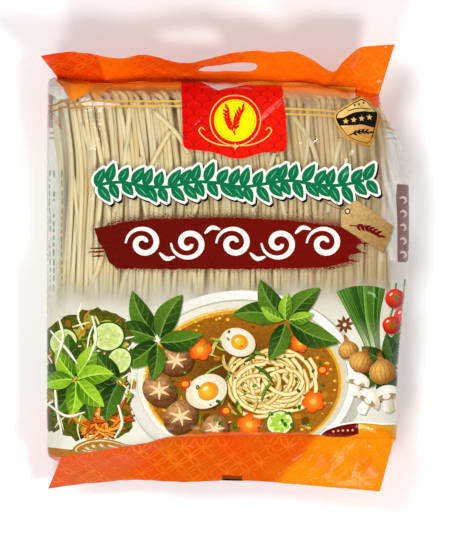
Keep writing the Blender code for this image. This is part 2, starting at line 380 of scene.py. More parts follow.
FIN_CREASES = (
    (-69.1, 113.4, -63.7, 99.4, 0.80, 1.6),
    (-83.0, 104.0, -60.0, 101.0, 0.50, 1.8),
    (-52.0, 104.0, -38.0, 112.0, 0.35, 2.2),
    (-28.0, 108.0, -8.0, 99.5, 0.35, 2.0),
    (24.0, 101.0, 48.0, 106.0, 0.40, 2.0),
    (50.0, 99.0, 62.0, 108.0, 0.80, 1.6),
    (60.0, 96.5, 72.0, 104.0, 0.90, 1.4),
    (66.0, 97.5, 84.0, 100.0, 0.70, 1.3),
    (-78.0, -104.0, -52.0, -99.0, 0.50, 1.8),
    (-30.0, -96.0, 8.0, -94.0, 0.50, 1.8),
    (-24.0, -103.0, 2.0, -99.0, 0.45, 2.0),
    (26.0, -94.0, 60.0, -98.0, 0.50, 2.0),
    (35.7, -106.0, 43.1, -101.0, 0.70, 1.2),
    (39.7, -110.0, 42.4, -107.0, 0.60, 1.0),
    (45.5, -103.0, 48.5, -104.5, 0.60, 1.0),
    (23.8, -115.5, 29.7, -111.5, 0.60, 1.0),
    (71.7, -109.0, 80.4, -101.0, 0.80, 1.1),
    (63.6, -113.0, 67.3, -109.0, 0.65, 1.0),
    (82.6, -101.0, 88.6, -94.0, 0.60, 1.0),
    (68.0, -103.0, 80.0, -92.0, 0.70, 1.1),
    (58.0, -112.0, 70.0, -98.0, 0.65, 1.2),
    (74.0, -96.0, 86.0, -100.0, 0.55, 1.1),
)


def crease_bow(start_x, run, along):
    """How far a crease wanders off its straight line."""
    along = np.clip(along, -0.1, 1.1)
    return 0.05 * run * np.sin(math.pi * along) + 0.30 * np.sin(0.9 * run * along + start_x)


def crease_lines(creases):
    """Lines of plan points along every crease, for the film's mesh to follow."""
    lines = []
    for x0, y0, x1, y1, _, breadth in creases:
        run = math.hypot(x1 - x0, y1 - y0)
        along = np.linspace(-0.08, 1.08, max(6, int(run / 0.9)))
        for offset in (-2.0, -1.1, -0.6, -0.25, 0.0, 0.25, 0.6, 1.1, 2.0):
            aside = crease_bow(x0, run, along) + offset * breadth
            x = x0 + (x1 - x0) * along + (y1 - y0) / run * aside
            y = y0 + (y1 - y0) * along - (x1 - x0) / run * aside
            lines.append(np.stack([x, y], axis=-1))
    return lines


def creased(creases, x, y):
    """Height of soft ridges along straight lines, faded at their ends."""
    total = np.zeros_like(x)
    for x0, y0, x1, y1, height, breadth in creases:
        run = math.hypot(x1 - x0, y1 - y0)
        along = ((x - x0) * (x1 - x0) + (y - y0) * (y1 - y0)) / run ** 2
        aside = ((x - x0) * (y1 - y0) - (y - y0) * (x1 - x0)) / run - crease_bow(x0, run, along)
        fade = smooth_step(along, -0.1, 0.25) * (1 - smooth_step(along, 0.75, 1.1))
        total = total + height * fade * np.exp(0.2 - np.hypot(aside / breadth, 0.2))
    return total


def front_relief(x, y):
    """How far the front film stands off its plain form, in millimetres."""
    gather = np.exp(-np.abs(y - 96) / 12) + np.exp(-np.abs(y + 90) / 12)
    relief = 0.16 * SLOW_WAVES(x, y) + 0.05 * QUICK_WAVES(x, y)
    relief = relief + 0.34 * gather * GATHER_WAVES(x, y)
    side = smooth_step(np.abs(x), 78, 92)
    relief = relief + 0.20 * side * QUICK_WAVES(x * 1.7, y * 0.5)
    return relief + creased(FRONT_CREASES, x, y)


def back_relief(x, y):
    """How far the back film stands off its plain form, in millimetres."""
    gather = np.exp(-np.abs(y - 92) / 14) + np.exp(-np.abs(y + 90) / 14)
    seam = 0.5 * np.exp(-((np.abs(x) - SEAM_HALF_MM) / 0.8) ** 2)
    relief = 0.12 * SLOW_WAVES(-x, y) + 0.05 * QUICK_WAVES(x, -y) + seam
    return relief + 0.30 * gather * GATHER_WAVES(-x, y)


def unit(vectors):
    """Vectors scaled to length 1."""
    return vectors / np.maximum(np.linalg.norm(vectors, axis=-1, keepdims=True), 1e-12)


class BodySheet:
    """The front (way 1) or back (way -1) film of the body. Film places are in millimetres."""

    def __init__(self, way):
        self.way = way
        length = FRONT_LENGTH if way > 0 else BACK_LENGTH
        self.row_of = smooth_curve(list(zip(length, FRONT_LENGTH)))
        self.v_of = smooth_curve(list(zip(FRONT_LENGTH, length)))
        self.creases = FRONT_CREASES if way > 0 else ()
        self.low, self.high = length[0] / MM, length[-1] / MM
        self.edge = [
            (-HALF_ARC / MM, self.low), (HALF_ARC / MM, self.low),
            (HALF_ARC / MM, self.high), (-HALF_ARC / MM, self.high),
        ]
        self.holes = []

    def bare(self, u, v):
        share_x, share_z = ring_shares(u)
        return ring_point(share_x, share_z, self.row_of(v), self.way)

    def place(self, film):
        """Points in metres for film places in millimetres, with folds and wrinkles."""
        u, v = film[:, 0] * MM, film[:, 1] * MM
        bare = self.bare(u, v)
        across = self.bare(u + NORMAL_STEP, v) - self.bare(u - NORMAL_STEP, v)
        low, high = self.low * MM, self.high * MM
        along = self.bare(u, np.minimum(v + NORMAL_STEP, high))
        along = along - self.bare(u, np.maximum(v - NORMAL_STEP, low))
        normal = unit(np.cross(across, along)) * self.way
        x, y = bare[:, 0] / MM, bare[:, 1] / MM
        relief = front_relief(x, y) if self.way > 0 else back_relief(x, y)
        ends = smooth_step(v / MM, self.low, self.low + END_FADE_MM)
        ends = ends * (1 - smooth_step(v / MM, self.high - END_FADE_MM, self.high))
        side = smooth_step(np.abs(u), SIDE_START * HALF_ARC, HALF_ARC)
        points = bare + normal * (relief * MM * ends * (1 - 0.7 * side))[:, None]
        groove = smooth_step(np.abs(u), GROOVE_START * HALF_ARC, HALF_ARC)
        tuck = GROOVE_DEPTH * groove * smooth_step(v / MM, self.low, self.low + TUCK_FADE_MM)
        tuck = tuck * (1 - smooth_step(v / MM, self.high - TUCK_FADE_MM, self.high))
        points[:, 0] -= np.sign(u) * tuck
        points[:, 2] = np.maximum(points[:, 2], FLOOR_GAP)
        return points

    def film_of(self, plan):
        """Film places of plan places, both in millimetres. Past the side they lie on the seam."""
        x, y = plan[:, 0] * MM, plan[:, 1] * MM
        q = y.copy()
        for _ in range(30):
            middle = (SIDE_VIEW[0](q) + SIDE_VIEW[4](q)) / 2
            width = np.where(x > 0, RIGHT_WIDTH(middle), LEFT_WIDTH(middle))
            share = np.clip(np.abs(x) / width, 0, 1)
            u = np.sign(x) * np.interp(share, RING_X, RING_LENGTH)
            share_x, share_z = ring_shares(u)
            found = ring_point(share_x, share_z, q, self.way)[:, 1]
            q = np.clip(q + (y - found) * 0.8, FRONT_LENGTH[0], FRONT_LENGTH[-1])
        return np.stack([u / MM, self.v_of(q) / MM], axis=-1)


class FinSheet:
    """One face of a fin: side 1 is the front face. Film places are in millimetres."""

    def __init__(self, root, edge, length, bow, row, way, side):
        self.root, self.edge_ends, self.length, self.way, self.side = root, edge, length, way, side
        self.edge_y, self.bow, self.row = smooth_curve(edge), smooth_curve(bow), row
        self.creases = [c for c in FIN_CREASES if c[1] * way > 0]
        self.width = (root[1] - root[0]) / MM
        half = self.width / 2
        self.low, self.high = 0.0, length / MM
        self.edge = [(-half, 0.0), (half, 0.0), (half, self.high), (-half, self.high)]
        self.holes = []

    def middle(self, across, out):
        """The fin's middle sheet, and how steeply it rises."""
        side_y, side_z = self.row[1]
        root_x = self.root[0] + (self.root[1] - self.root[0]) * across
        root_y = side_y + self.bow(2 * across - 1)
        left_x, right_x = self.edge_ends[0][0], self.edge_ends[-1][0]
        edge_x = left_x + (right_x - left_x) * across
        reach = np.minimum(np.abs(self.edge_y(edge_x) - root_y), self.length)
        rise = np.sqrt(self.length ** 2 - reach ** 2) * self.way
        x = root_x + (edge_x - root_x) * out
        y = root_y + self.way * reach * out
        z = side_z + rise * out
        return np.stack([x, y, z], axis=-1), np.arctan2(rise, reach)

    def root_line(self, across):
        """Where the body's own film ends."""
        share_x = 2 * across - 1
        share_z = np.clip(1 - np.abs(share_x) ** SIDE_POWER, 0, 1) ** (1 / FACE_POWER)
        q = np.full_like(across, FRONT_LENGTH[0] if self.way < 0 else FRONT_LENGTH[-1])
        return ring_point(share_x, share_z, q, self.side)

    def place(self, film):
        across = film[:, 0] / self.width + 0.5
        out = film[:, 1] / self.high
        points, tilt = self.middle(across, out)
        normal = np.stack([np.zeros_like(tilt), -self.way * np.sin(tilt), np.cos(tilt)], axis=-1)
        x, y = points[:, 0] / MM, points[:, 1] / MM
        relief = 0.26 * SLOW_WAVES(x * 1.6, y * 1.6) + 0.13 * QUICK_WAVES(x * 1.6, y * 1.2)
        relief = relief + creased(self.creases, x, y)
        rim = np.minimum(np.minimum(across, 1 - across) * self.width, (1 - out) * self.high)
        for hole in self.holes:
            rim = np.minimum(rim, outline_distance(film, hole))
        half = FIN_HALF * smooth_step(rim, 0.0, 0.8)
        inner = smooth_step(out, 0.0, 0.25)
        points = points + normal * (relief * MM * inner + half * self.side)[:, None]
        share = smooth_step(out, 0.0, ROOT_BLEND)[:, None]
        return self.root_line(across) * (1 - share) + points * share

    def film_of(self, plan):
        """Film places of plan places, both in millimetres."""
        x, y = plan[:, 0] * MM, plan[:, 1] * MM
        across = np.clip((x - self.root[0]) / (self.root[1] - self.root[0]), 0, 1)
        out = np.full_like(x, 0.5)
        for _ in range(40):
            found = self.middle(across, out)[0]
            start, end = self.middle(across, np.zeros_like(x))[0], self.middle(across, np.ones_like(x))[0]
            run = end[:, 1] - start[:, 1]
            run = np.where(np.abs(run) < 1e-5, self.way * 1e-5, run)
            out = np.clip(out + (y - found[:, 1]) / run, -0.2, 1.2)
            across = across + (x - found[:, 0]) / (self.root[1] - self.root[0])
            across = np.clip(across, -0.1, 1.1)
        film = np.stack([(across - 0.5) * self.width, out * self.high], axis=-1)
        half = self.width / 2
        return np.stack([np.clip(film[:, 0], -half, half), np.clip(film[:, 1], 0, self.high)], axis=-1)


def outline_distance(points, outline):
    """Distance from each point to a closed outline."""
    best = np.full(len(points), 1e9)
    for start, end in zip(outline, np.roll(outline, -1, axis=0)):
        run = end - start
        t = np.clip(((points - start) @ run) / max(run @ run, 1e-12), 0, 1)
        best = np.minimum(best, np.linalg.norm(points - start - t[:, None] * run, axis=1))
    return best


def inside(points, outline):
    """Which points lie inside a closed outline."""
    x, y = points[:, 0], points[:, 1]
    found = np.zeros(len(points), bool)
    x0, y0 = outline[-1]
    for x1, y1 in outline:
        if y0 != y1:
            crosses = (y0 > y) != (y1 > y)
            found ^= crosses & (x < (x1 - x0) * (y - y0) / (y1 - y0) + x0)
        x0, y0 = x1, y1
    return found


# Outlines, all in millimetres of plan.


def ellipse(cx, cy, rx, ry, turn=0.0, start=0.0, end=360.0, points=None):
    """Points round an ellipse, or an arc of one from start to end degrees."""
    whole = abs(end - start) >= 360
    if points is None:
        points = int(np.clip(max(rx, ry) * 3, 10, 72))
    angles = np.radians(np.linspace(start, end, points, endpoint=not whole))
    c, s = place_on(0, 0, 1, 1, turn)
    x, y = rx * np.cos(angles), ry * np.sin(angles)
    return np.stack([cx + c * x - s * y, cy + s * x + c * y], axis=-1)


def box(x0, y0, x1, y1):
    """The corners of an upright rectangle."""
    return [(x0, y0), (x1, y0), (x1, y1), (x0, y1)]


def place_on(cx, cy, rx, ry, turn):
    """The place at turn degrees round an ellipse."""
    return cx + rx * math.cos(math.radians(turn)), cy + ry * math.sin(math.radians(turn))


def turn_frame(turn):
    """The matrix that turns rows of places by turn degrees."""
    c, s = place_on(0, 0, 1, 1, turn)
    return np.array([[c, s], [-s, c]])


def placer(x, y, size, turn):
    """A function that turns, sizes and moves an outline drawn round the origin."""
    frame = turn_frame(turn) * size
    return lambda outline: np.array(outline) @ frame + (x, y)


def through(points, count=12):
    """A smooth line through the points."""
    points = np.array(points, float)
    padded = np.vstack([2 * points[0] - points[1], points, 2 * points[-1] - points[-2]])
    t = np.linspace(0, 1, count, endpoint=False)[:, None]
    runs = []
    for a, b, c, d in zip(padded, padded[1:], padded[2:], padded[3:]):
        runs.append(0.5 * (2 * b + (c - a) * t + (2 * a - 5 * b + 4 * c - d) * t ** 2
                           + (3 * b - a - 3 * c + d) * t ** 3))
    return np.vstack(runs + [points[-1:]])


def ribbon(points, width, start=1.0, end=1.0, count=8):
    """A closed outline round a smooth line, with its width at the start and end as shares."""
    line = through(points, count)
    along = unit(np.gradient(line, axis=0))
    aside = np.stack([-along[:, 1], along[:, 0]], axis=-1)
    t = np.linspace(0, 1, len(line))
    half = width / 2 * np.interp(t, [0, 0.3, 0.7, 1], [start, 1, 1, end])
    return np.vstack([line + aside * half[:, None], (line - aside * half[:, None])[::-1]])


def leaf_outline(x, y, length, width, turn, grow=0.0, bend=0.0):
    """A pointed leaf from its base towards turn degrees, grown all round by grow."""
    t = np.linspace(0, 1, 13)
    half = (width / 2) * np.sin(math.pi * t ** 0.8) ** 0.85 + grow
    along = (length + 2 * grow) * t - grow
    curve = bend * length * np.sin(math.pi * t)
    upper = np.stack([along, curve + half], axis=-1)
    lower = np.stack([along, curve - half], axis=-1)[::-1]
    outline = np.vstack([upper, lower[1:-1]]) if grow == 0 else np.vstack([upper, lower])
    return outline @ turn_frame(turn) + (x, y)


def leaf_spine(x, y, length, turn, bend):
    """The midrib of a leaf."""
    t = np.linspace(0, 1, 13)
    local = np.stack([length * t, bend * length * np.sin(math.pi * t)], axis=-1)
    return local @ turn_frame(turn) + (x, y)


def scatter(draw, cx, cy, rx, ry, count, inner=0.0, outer=1.0):
    """Random places inside an ellipse."""
    angles = draw.uniform(0, 2 * math.pi, count)
    shares = draw.uniform(inner ** 2, outer ** 2, count) ** 0.5
    return list(zip(cx + rx * shares * np.cos(angles), cy + ry * shares * np.sin(angles)))


def star(cx, cy, radius, inner, count, turn=90.0):
    """A star or, with inner near 1, a serrated disc."""
    angles = np.radians(turn + np.arange(count * 2) * 180.0 / count)
    radii = np.where(np.arange(count * 2) % 2 == 0, radius, radius * inner)
    return np.stack([cx + radii * np.cos(angles), cy + radii * np.sin(angles)], axis=-1)


def plain(colour):
    """A fill of one colour."""
    return lambda x, y: np.broadcast_to(colour, (len(x), 3))


def blend_from(x0, y0, colour0, x1, y1, colour1):
    """A fill that passes from one colour to another along a line."""
    def fill(x, y):
        run = (x1 - x0) ** 2 + (y1 - y0) ** 2
        t = smooth_step(((x - x0) * (x1 - x0) + (y - y0) * (y1 - y0)) / run, 0, 1)[:, None]
        return colour0 * (1 - t) + colour1 * t
    return fill


def blend_out(cx, cy, rx, ry, colour0, colour1):
    """A fill that passes from one colour at the middle to another at the rim."""
    def fill(x, y):
        t = smooth_step(np.hypot((x - cx) / rx, (y - cy) / ry), 0, 1)[:, None]
        return colour0 * (1 - t) + colour1 * t
    return fill


def orange_tone(x, y):
    """The orange of the header and foot: random tone, with painted shade and painted light by fold and by
    place.
    """
    tone = 0.42 + 0.15 * TONE_WAVES(x, y)
    # Painted shade left of the header's fold and in a patch by the right wing; painted light right of the
    # fold, over the header's right half and in a patch at the foot's right. The foot is darker towards its
    # left end.
    fold = smooth_step(x + 0.36 * (y - 106), -67.2, -65.6)
    head = tone - 0.40 * (1 - fold) + 0.50 * fold * (1 - smooth_step(x, -60, -40))
    header_painted_shade = 0.60 * np.exp(-((x - 57) / 7) ** 2 - ((y - 102.5) / 4) ** 2)
    head = head + 0.95 * smooth_step(x, -12, 46) - header_painted_shade
    lit = smooth_step(x - 0.8 * (y + 100), 37, 46)
    foot = tone - 0.12 * (1 - smooth_step(x, -84, -40)) + 0.58 * lit
    tone = np.clip(np.where(y > 0, head, foot), 0, 1)[:, None]
    at_head = (y > 0)[:, None]
    deep = np.where(at_head, DEEP_ORANGE, FOOT_DEEP)
    middle = np.where(at_head, ORANGE, FOOT_ORANGE)
    bright = np.where(at_head, BRIGHT_ORANGE, FOOT_GOLD)
    low, high = np.clip(tone * 2, 0, 1), np.clip(tone * 2 - 1, 0, 1)
    return (deep * (1 - low) + middle * low) * (1 - high) + bright * high


class Print:
    """The shapes printed on one sheet of film, in the order that they are laid down."""

    def __init__(self):
        self.shapes = []

    def add(self, outline, fill, kind="ink", cover=1.0, grain=0.15):
        """Lays down a filled outline. A fill is a colour or a function of plan x and y."""
        fill = fill if callable(fill) else plain(fill)
        reach = cover if callable(cover) else (lambda x, y: np.full(len(x), float(cover)))
        if kind == "ink" and (callable(cover) or cover < 1):
            kind = "soft_ink"
        self.shapes.append((np.array(outline, float), fill, kind, reach, grain))

    def leaf(self, x, y, length, width, turn, dark, light, bend=0.0, veins=5):
        """A leaf in two halves, with a midrib and side veins."""
        frame = turn_frame(turn)
        tip = place_on(x, y, length, length, turn)
        outline = leaf_outline(x, y, length, width, turn, bend=bend)
        spine = leaf_spine(x, y, length, turn, bend)
        self.add(outline + (0.5, -0.7), SHADOW * 0.5, cover=0.55)
        self.add(outline, blend_from(x, y, dark, *tip, dark * 0.6 + light * 0.4), grain=0.4)
        half = np.vstack([outline[:13], spine[-2:0:-1]])
        self.add(half, blend_from(x, y, dark * 0.45 + light * 0.55, *tip, light), grain=0.4)
        vein = light * 1.25 + WHITE * 0.04
        self.add(ribbon(spine[::2], 0.05 * width + 0.1, end=0.3, count=2), vein)
        for k in range(1, veins + 1):
            at = (k - 0.4) / (veins + 0.6)
            start = np.array([at * length, bend * length * math.sin(math.pi * at)])
            reach = 0.40 * width * math.sin(math.pi * at ** 0.8)
            for way in (1, -1):
                end = start + (0.55 * reach + 0.10 * length, way * reach)
                pair = np.array([start, end]) @ frame + (x, y)
                self.add(ribbon(pair, 0.26, end=0.3, count=2), vein * 0.8 + dark * 0.2)


def rice_ear(art, x, y, length, turn, fill, size, grains=7):
    """An ear of rice: a bent stem with pairs of grains, and one at its tip."""
    frame = turn_frame(turn)

    def on_stem(t):
        return np.stack([t * length, 0.10 * length * np.sin(math.pi * t)], axis=-1) @ frame + (x, y)
    art.add(ribbon(on_stem(np.linspace(0, 1, 6)), 0.7), fill)
    for k in range(grains):
        base = on_stem(0.22 + 0.78 * k / (grains - 1))
        for lean in (32, -32) if k < grains - 1 else (0,):
            art.add(leaf_outline(*base, size, size * 0.42, turn + lean), fill)


# The print of the front, from the ground up.


def print_ground(art):
    """A pale ground that fades in from clear below the middle of the pack."""
    def cover(x, y):
        edge = 1.4 + 2.0 * TONE_WAVES(x * 1.5, y)
        return (1 - smooth_step(y, edge - 25, edge)) ** 1.25
    fill = blend_from(0, -12, rgb(206, 200, 178), 0, -40, GROUND)
    art.add(box(-FAR, 9, FAR, -26), fill, kind="soft_ink", cover=cover, grain=0.06)
    art.add(box(-FAR, -26, FAR, -FAR), fill, grain=0.06)


def print_haze_and_gap_light(art):
    """A warm tint over the noodles, thicker to the right: partly haze of slack film, partly painted light that
    lifts the shade between the strands.
    """
    def cover(x, y):
        across = 0.07 + 0.09 * smooth_step(x, -50, 0) + 0.16 * smooth_step(x, 22, 60)
        return across * smooth_step(x, -90, -76) * (0.9 + 0.3 * TONE_WAVES(x * 1.6, y * 0.8))
    fill = blend_from(-60, 0, rgb(206, 168, 96), 60, 0, rgb(192, 160, 108))
    art.add(box(-90, 90, 86, -26), fill, cover=cover, grain=0.05)


def print_gusset(art):
    """Hazy film and plain marks on the folded sides; at the right the haze runs in streaks of painted sheen on
    the folds.
    """
    def left_cover(x, y):
        return 0.46 * (1 - smooth_step(x, -89, -82)) * (0.8 + 0.3 * QUICK_WAVES(x * 4, y * 0.35))

    def right_cover(x, y):
        # Painted sheen: pale streaks where the folds of the right side catch the light, over the film's haze.
        folds = 0.75 + 0.45 * QUICK_WAVES(x * 3.4 + 0.9 * y, y * 0.25)
        return np.clip(0.60 * smooth_step(x, 80.5, 90) * folds, 0, 1)
    left, right = [(-FAR, 98), (-80, 98), (-82, 4), (-FAR, 4)], [(FAR, 98), (78, 98), (80, 4), (FAR, 4)]
    art.add(left, HAZE, cover=left_cover, grain=0.05)
    art.add(right, rgb(226, 220, 212), cover=right_cover, grain=0.1)
    draw = np.random.default_rng(21)
    for x, size in ((-95.2, 0.8), (-93.1, 1.1), (-88.6, 0.9)):
        y = 53.0
        while y > -20:
            run = draw.uniform(1.0, 4.2)
            art.add(ribbon([(x, y), (x, y - run)], size, 0.7, 0.7, 2), GREEN, cover=0.62)
            y -= run + draw.uniform(0.9, 1.8)
            if draw.random() < 0.12:
                y -= 6
    art.add([(92.0, 45.4), (FAR, 43.4), (FAR, 3.2), (92.6, 3.2)], MAROON, cover=0.82, grain=0.2)
    for k in range(5):
        x, y = 95.6, 36.5 - 7.4 * k
        hook = [(x - 1.6, y + 1.2), (x + 0.4, y + 1.8), (x + 1.8, y), (x + 0.4, y - 1.6)]
        art.add(ribbon(hook, 1.3, 0.4, 0.4, 4), rgb(214, 200, 190), cover=0.85)


def print_gold_lines(art):
    """Two gold lines round the shoulder of the pack, bent where the side folds in, with painted reflections of
    them in the fold at the left.
    """
    left = [(-FAR, 87.4, 84.4), (-97, 87.7, 84.6), (-88, 90.0, 86.9), (-82, 88.9, 86.5), (-73, 90.1, 87.2),
            (-60, 90.0, 87.3), (-20, 89.9, 87.3)]
    right = [(20, 86.6, 83.4), (31, 86.0, 83.0), (59, 84.4, 81.8), (80, 80.5, 77.5), (100, 75.5, 72.5),
             (FAR, 75, 72)]
    left_fill = blend_from(-95, 0, DEEP_GOLD, -40, 0, GOLD)
    right_fill = blend_from(40, 0, GOLD, 95, 0, rgb(190, 132, 52))
    for rows, fill, cover in ((left, left_fill, 0.95), (right, right_fill, 0.9)):
        for line in (1, 2):
            art.add(ribbon([(row[0], row[line]) for row in rows], 1.05), fill, cover=cover)
    # Painted reflections: three slanted strokes below the lines, where the folded film at the left mirrors
    # them.
    for x, y in ((-94.6, 83.6), (-94.0, 81.2), (-93.0, 79.2)):
        art.add(ribbon([(x, y), (x + 2.4, y - 1.7), (x + 4.8, y - 4.6)], 0.9), DEEP_GOLD, cover=0.45)


def print_shoulder(art):
    """Thin orange over the shoulder, through which the tops of the noodles show, with painted shade and a
    painted glint.
    """
    def cover(x, y):
        edge = 97.6 - 0.012 * (x + 40) - 3.2 * smooth_step(x, 40, 62)
        edge = edge + 0.7 * QUICK_WAVES(x * 1.1, y * 0.2)
        solid = 0.88 * smooth_step(y, edge - 2.2, edge + 1.2)
        return np.maximum(solid, 0.22 * smooth_step(y, 90.5, 95.5))

    def peach_cover(x, y):
        return 0.46 * smooth_step(y, 87.5, 94.0)
    band = [(-80, 86), (70, 86), (78, 120), (-80, 120)]
    art.add(band, blend_from(0, 101, rgb(232, 124, 16), 0, 93, rgb(252, 178, 84)), cover=cover, grain=0.25)
    left_tuck = [(-88.5, 104.2), (-82.0, 102.4), (-73.5, 99.0), (-76.5, 94.4), (-80.8, 90.8), (-83.2, 90.0),
                 (-86.4, 95.2), (-91.8, 99.6), (-94.2, 102.8), (-96.5, 104.4)]
    left_light = [(-84.5, 99.4), (-76.0, 99.0), (-72.0, 97.0), (-75.2, 93.6), (-81.0, 90.9), (-83.0, 92.6)]
    # Painted shade: dark lines along the fold at the left and along the header's root.
    left_fold_shade = ribbon([(-93.2, 103.2), (-88.6, 97.8), (-83.4, 90.4)], 0.8, end=0.4)
    left_root_shade = ribbon([(-97, 103.6), (-89, 101.4), (-82, 100.4), (-75, 99.4)], 0.9, 0.5, 0.4)
    left_pale = [(-96.8, 103), (-94.4, 102.6), (-88.0, 97.4), (-84.6, 91.6), (-90.5, 91.0), (-96.6, 95.0)]
    left_amber = [(-73.4, 99.6), (-62, 98.6), (-66, 95.4), (-68.6, 90.6), (-72.4, 92.6)]
    wing = [(59, 97.5), (64, 94.6), (68, 92.2), (72, 92.5), (77, 90.4), (79.5, 87.4), (84, 86.5), (100, 100),
            (90, 125), (55, 118)]
    peach = [(31, 97.2), (40, 97.6), (52, 96.0), (61, 94.0), (67, 90.0), (62, 86.6), (48, 88.0), (38, 89.4),
             (31, 88.6)]
    peach_top = [(31, 97.4), (40, 97.4), (50, 96.2), (60, 94.2), (52, 93.4), (41, 94.4), (31, 94.0)]
    # Painted shade and light on a curled film edge, and a painted glint along its rim.
    curl = [(62.9, 95.9), (64.6, 98.2), (67.0, 98.0), (69.2, 95.8), (69.9, 92.4), (67.6, 91.2), (66.4, 93.4)]
    curl_painted_glint = ribbon([(68.6, 96.2), (69.6, 94.0), (69.4, 91.6)], 0.5, 0.4, 0.4)
    tuck_fill = blend_from(-92, 102, rgb(190, 112, 44), -80, 91, rgb(232, 128, 20))
    wing_fill = blend_from(62, 98, BRIGHT_ORANGE, 82, 88, ORANGE)
    curl_painted_shade_and_light = blend_from(63, 97, rgb(196, 104, 40), 70, 92, rgb(240, 196, 160))
    for outline, fill, share, grain in (
            (left_tuck, tuck_fill, 0.92, 0.15), (left_light, rgb(238, 134, 26), 0.7, 0.15),
            (left_fold_shade, rgb(150, 84, 26), 0.6, 0.15), (left_root_shade, rgb(110, 64, 24), 0.6, 0.15),
            (left_pale, rgb(232, 228, 218), 0.55, 0.15), (left_amber, AMBER, 0.55, 0.15),
            (wing, wing_fill, 0.94, 0.25), (peach, rgb(236, 176, 120), peach_cover, 0.15),
            (peach_top, rgb(240, 150, 70), 0.28, 0.15), (through(curl, 4), curl_painted_shade_and_light, 0.9, 0.15),
            (curl_painted_glint, rgb(255, 240, 220), 0.9, 0.15)):
        art.add(outline, fill, cover=share, grain=grain)


def print_label(art):
    """A red label with a fan pattern, and a plain emblem: a yellow disc with two ears of rice."""
    top = [(-24.4, 101.5), (-15.6, 100.4), (-9.5, 98.6), (-4.2, 96.0), (6.5, 98.4), (16.5, 99.6),
           (30.1, 99.4)]
    right = [(31.0, 92.0), (32.3, 82.6), (32.9, 67.8)]
    corner = ellipse(29.6, 66.0, 3.3, 3.4, start=0, end=-90, points=6)
    bottom = through([(29.6, 62.6), (19.4, 62.0), (10.3, 59.3), (3.2, 59.2), (-6.5, 62.2), (-18.5, 63.8)], 5)
    left = ellipse(-19.6, 67.5, 3.6, 3.7, start=-90, end=-180, points=6)
    outline = np.vstack([through(top, 4), right, corner, bottom, left])
    # A pale pink sliver above the label: clear film between header and label, partly a painted highlight on
    # the fold.
    pale = [(-15.6, 101.2), (-9.5, 98.6), (-4.2, 96.0), (6.5, 98.4), (16.5, 99.7), (17.0, 102.5), (-16, 103)]
    art.add(pale, rgb(222, 196, 186), grain=0.1, cover=0.9)
    # The red is darker towards the upper left: painted shade.
    art.add(outline, blend_from(-20, 98, DARK_RED, 20, 66, rgb(240, 24, 6)), kind="label_ink")
    for size, fill, kind, grain in (
            (13.9, LIGHT_GOLD, "ink", 0.15), (13.3, RED, "label_ink", 0.15), (11.4, YELLOW, "ink", 0.05),
            (10.6, rgb(214, 176, 0), "ink", 0.05), (10.3, YELLOW, "ink", 0.05)):
        art.add(ellipse(5.0, 79.6, size, size), fill, kind=kind, grain=grain)
    for turn, x in ((108, 5.2), (74, 4.8)):
        rice_ear(art, x, 71.6, 14.6, turn, RED, 3.5)
    scroll = ((2.5, 65.9), (9, 66.6), (15.5, 69.4), (19.5, 73.6), (18.2, 75.8), (16.4, 74.4))
    for way in (1, -1):
        art.add(ribbon([(5 + way * aside, y) for aside, y in scroll], 0.7, end=0.5), LIGHT_GOLD)
    art.add(star(5.0, 65.6, 1.9, 0.5, 4), LIGHT_GOLD)
    shine = [(21, 84.5), (27, 89.5), (31.4, 93.5), (31.7, 90.0), (27.5, 86.0), (22, 81.5), (17.5, 79.5)]
    art.add(shine, rgb(250, 120, 104), cover=0.42, grain=0.3)


def garland_leaves():
    """Places of the garland's leaves, as x, y, length, width and turn."""
    places = []
    count = 23
    for k in range(count):
        x = -70.5 + 145.0 * k / (count - 1)
        y = 44.6 + 1.6 * math.sin(k * 0.9) + 1.4 * k / count
        lean = 62 + 10 * math.sin(k * 1.7)
        places.append((x, y, 10.6 + 1.2 * math.sin(k * 2.3), 5.7, lean))
        places.append((x + 1.6, y, 10.2 + 1.2 * math.cos(k * 1.9), 5.5, -lean + 8))
    return places


def print_garland(art):
    """A green leaf garland with a white edge and a dark shadow, across the pack."""
    leaves = garland_leaves()
    stem = [(x, y) for x, y, *_ in leaves[::4]]
    for dx, dy, grow, fill in ((0.9, -1.2, 1.0, INK_BLACK), (0, 0, 1.05, WHITE), (0, 0, 0.0, GREEN)):
        moved = [(x + dx, y + dy) for x, y in stem]
        art.add(ribbon(moved, 1.8 + 2 * grow), fill)
        for x, y, length, width, turn in leaves:
            art.add(leaf_outline(x + dx, y + dy, length, width, turn, grow), fill)
    for x, y, length, _, turn in leaves:
        rib = [place_on(x, y, length * share, length * share, turn) for share in (0.25, 0.8)]
        art.add(ribbon(rib, 0.42, 0.4, 0.2, 2), rgb(120, 186, 140))


def rough_edge(points, depth, seed, step=1.0):
    """An outline with its points moved a little at random, as by a dry brush."""
    line = split_outline(np.array(points, float), step)
    draw = np.random.default_rng(seed)
    return line + draw.uniform(-depth, depth, line.shape)


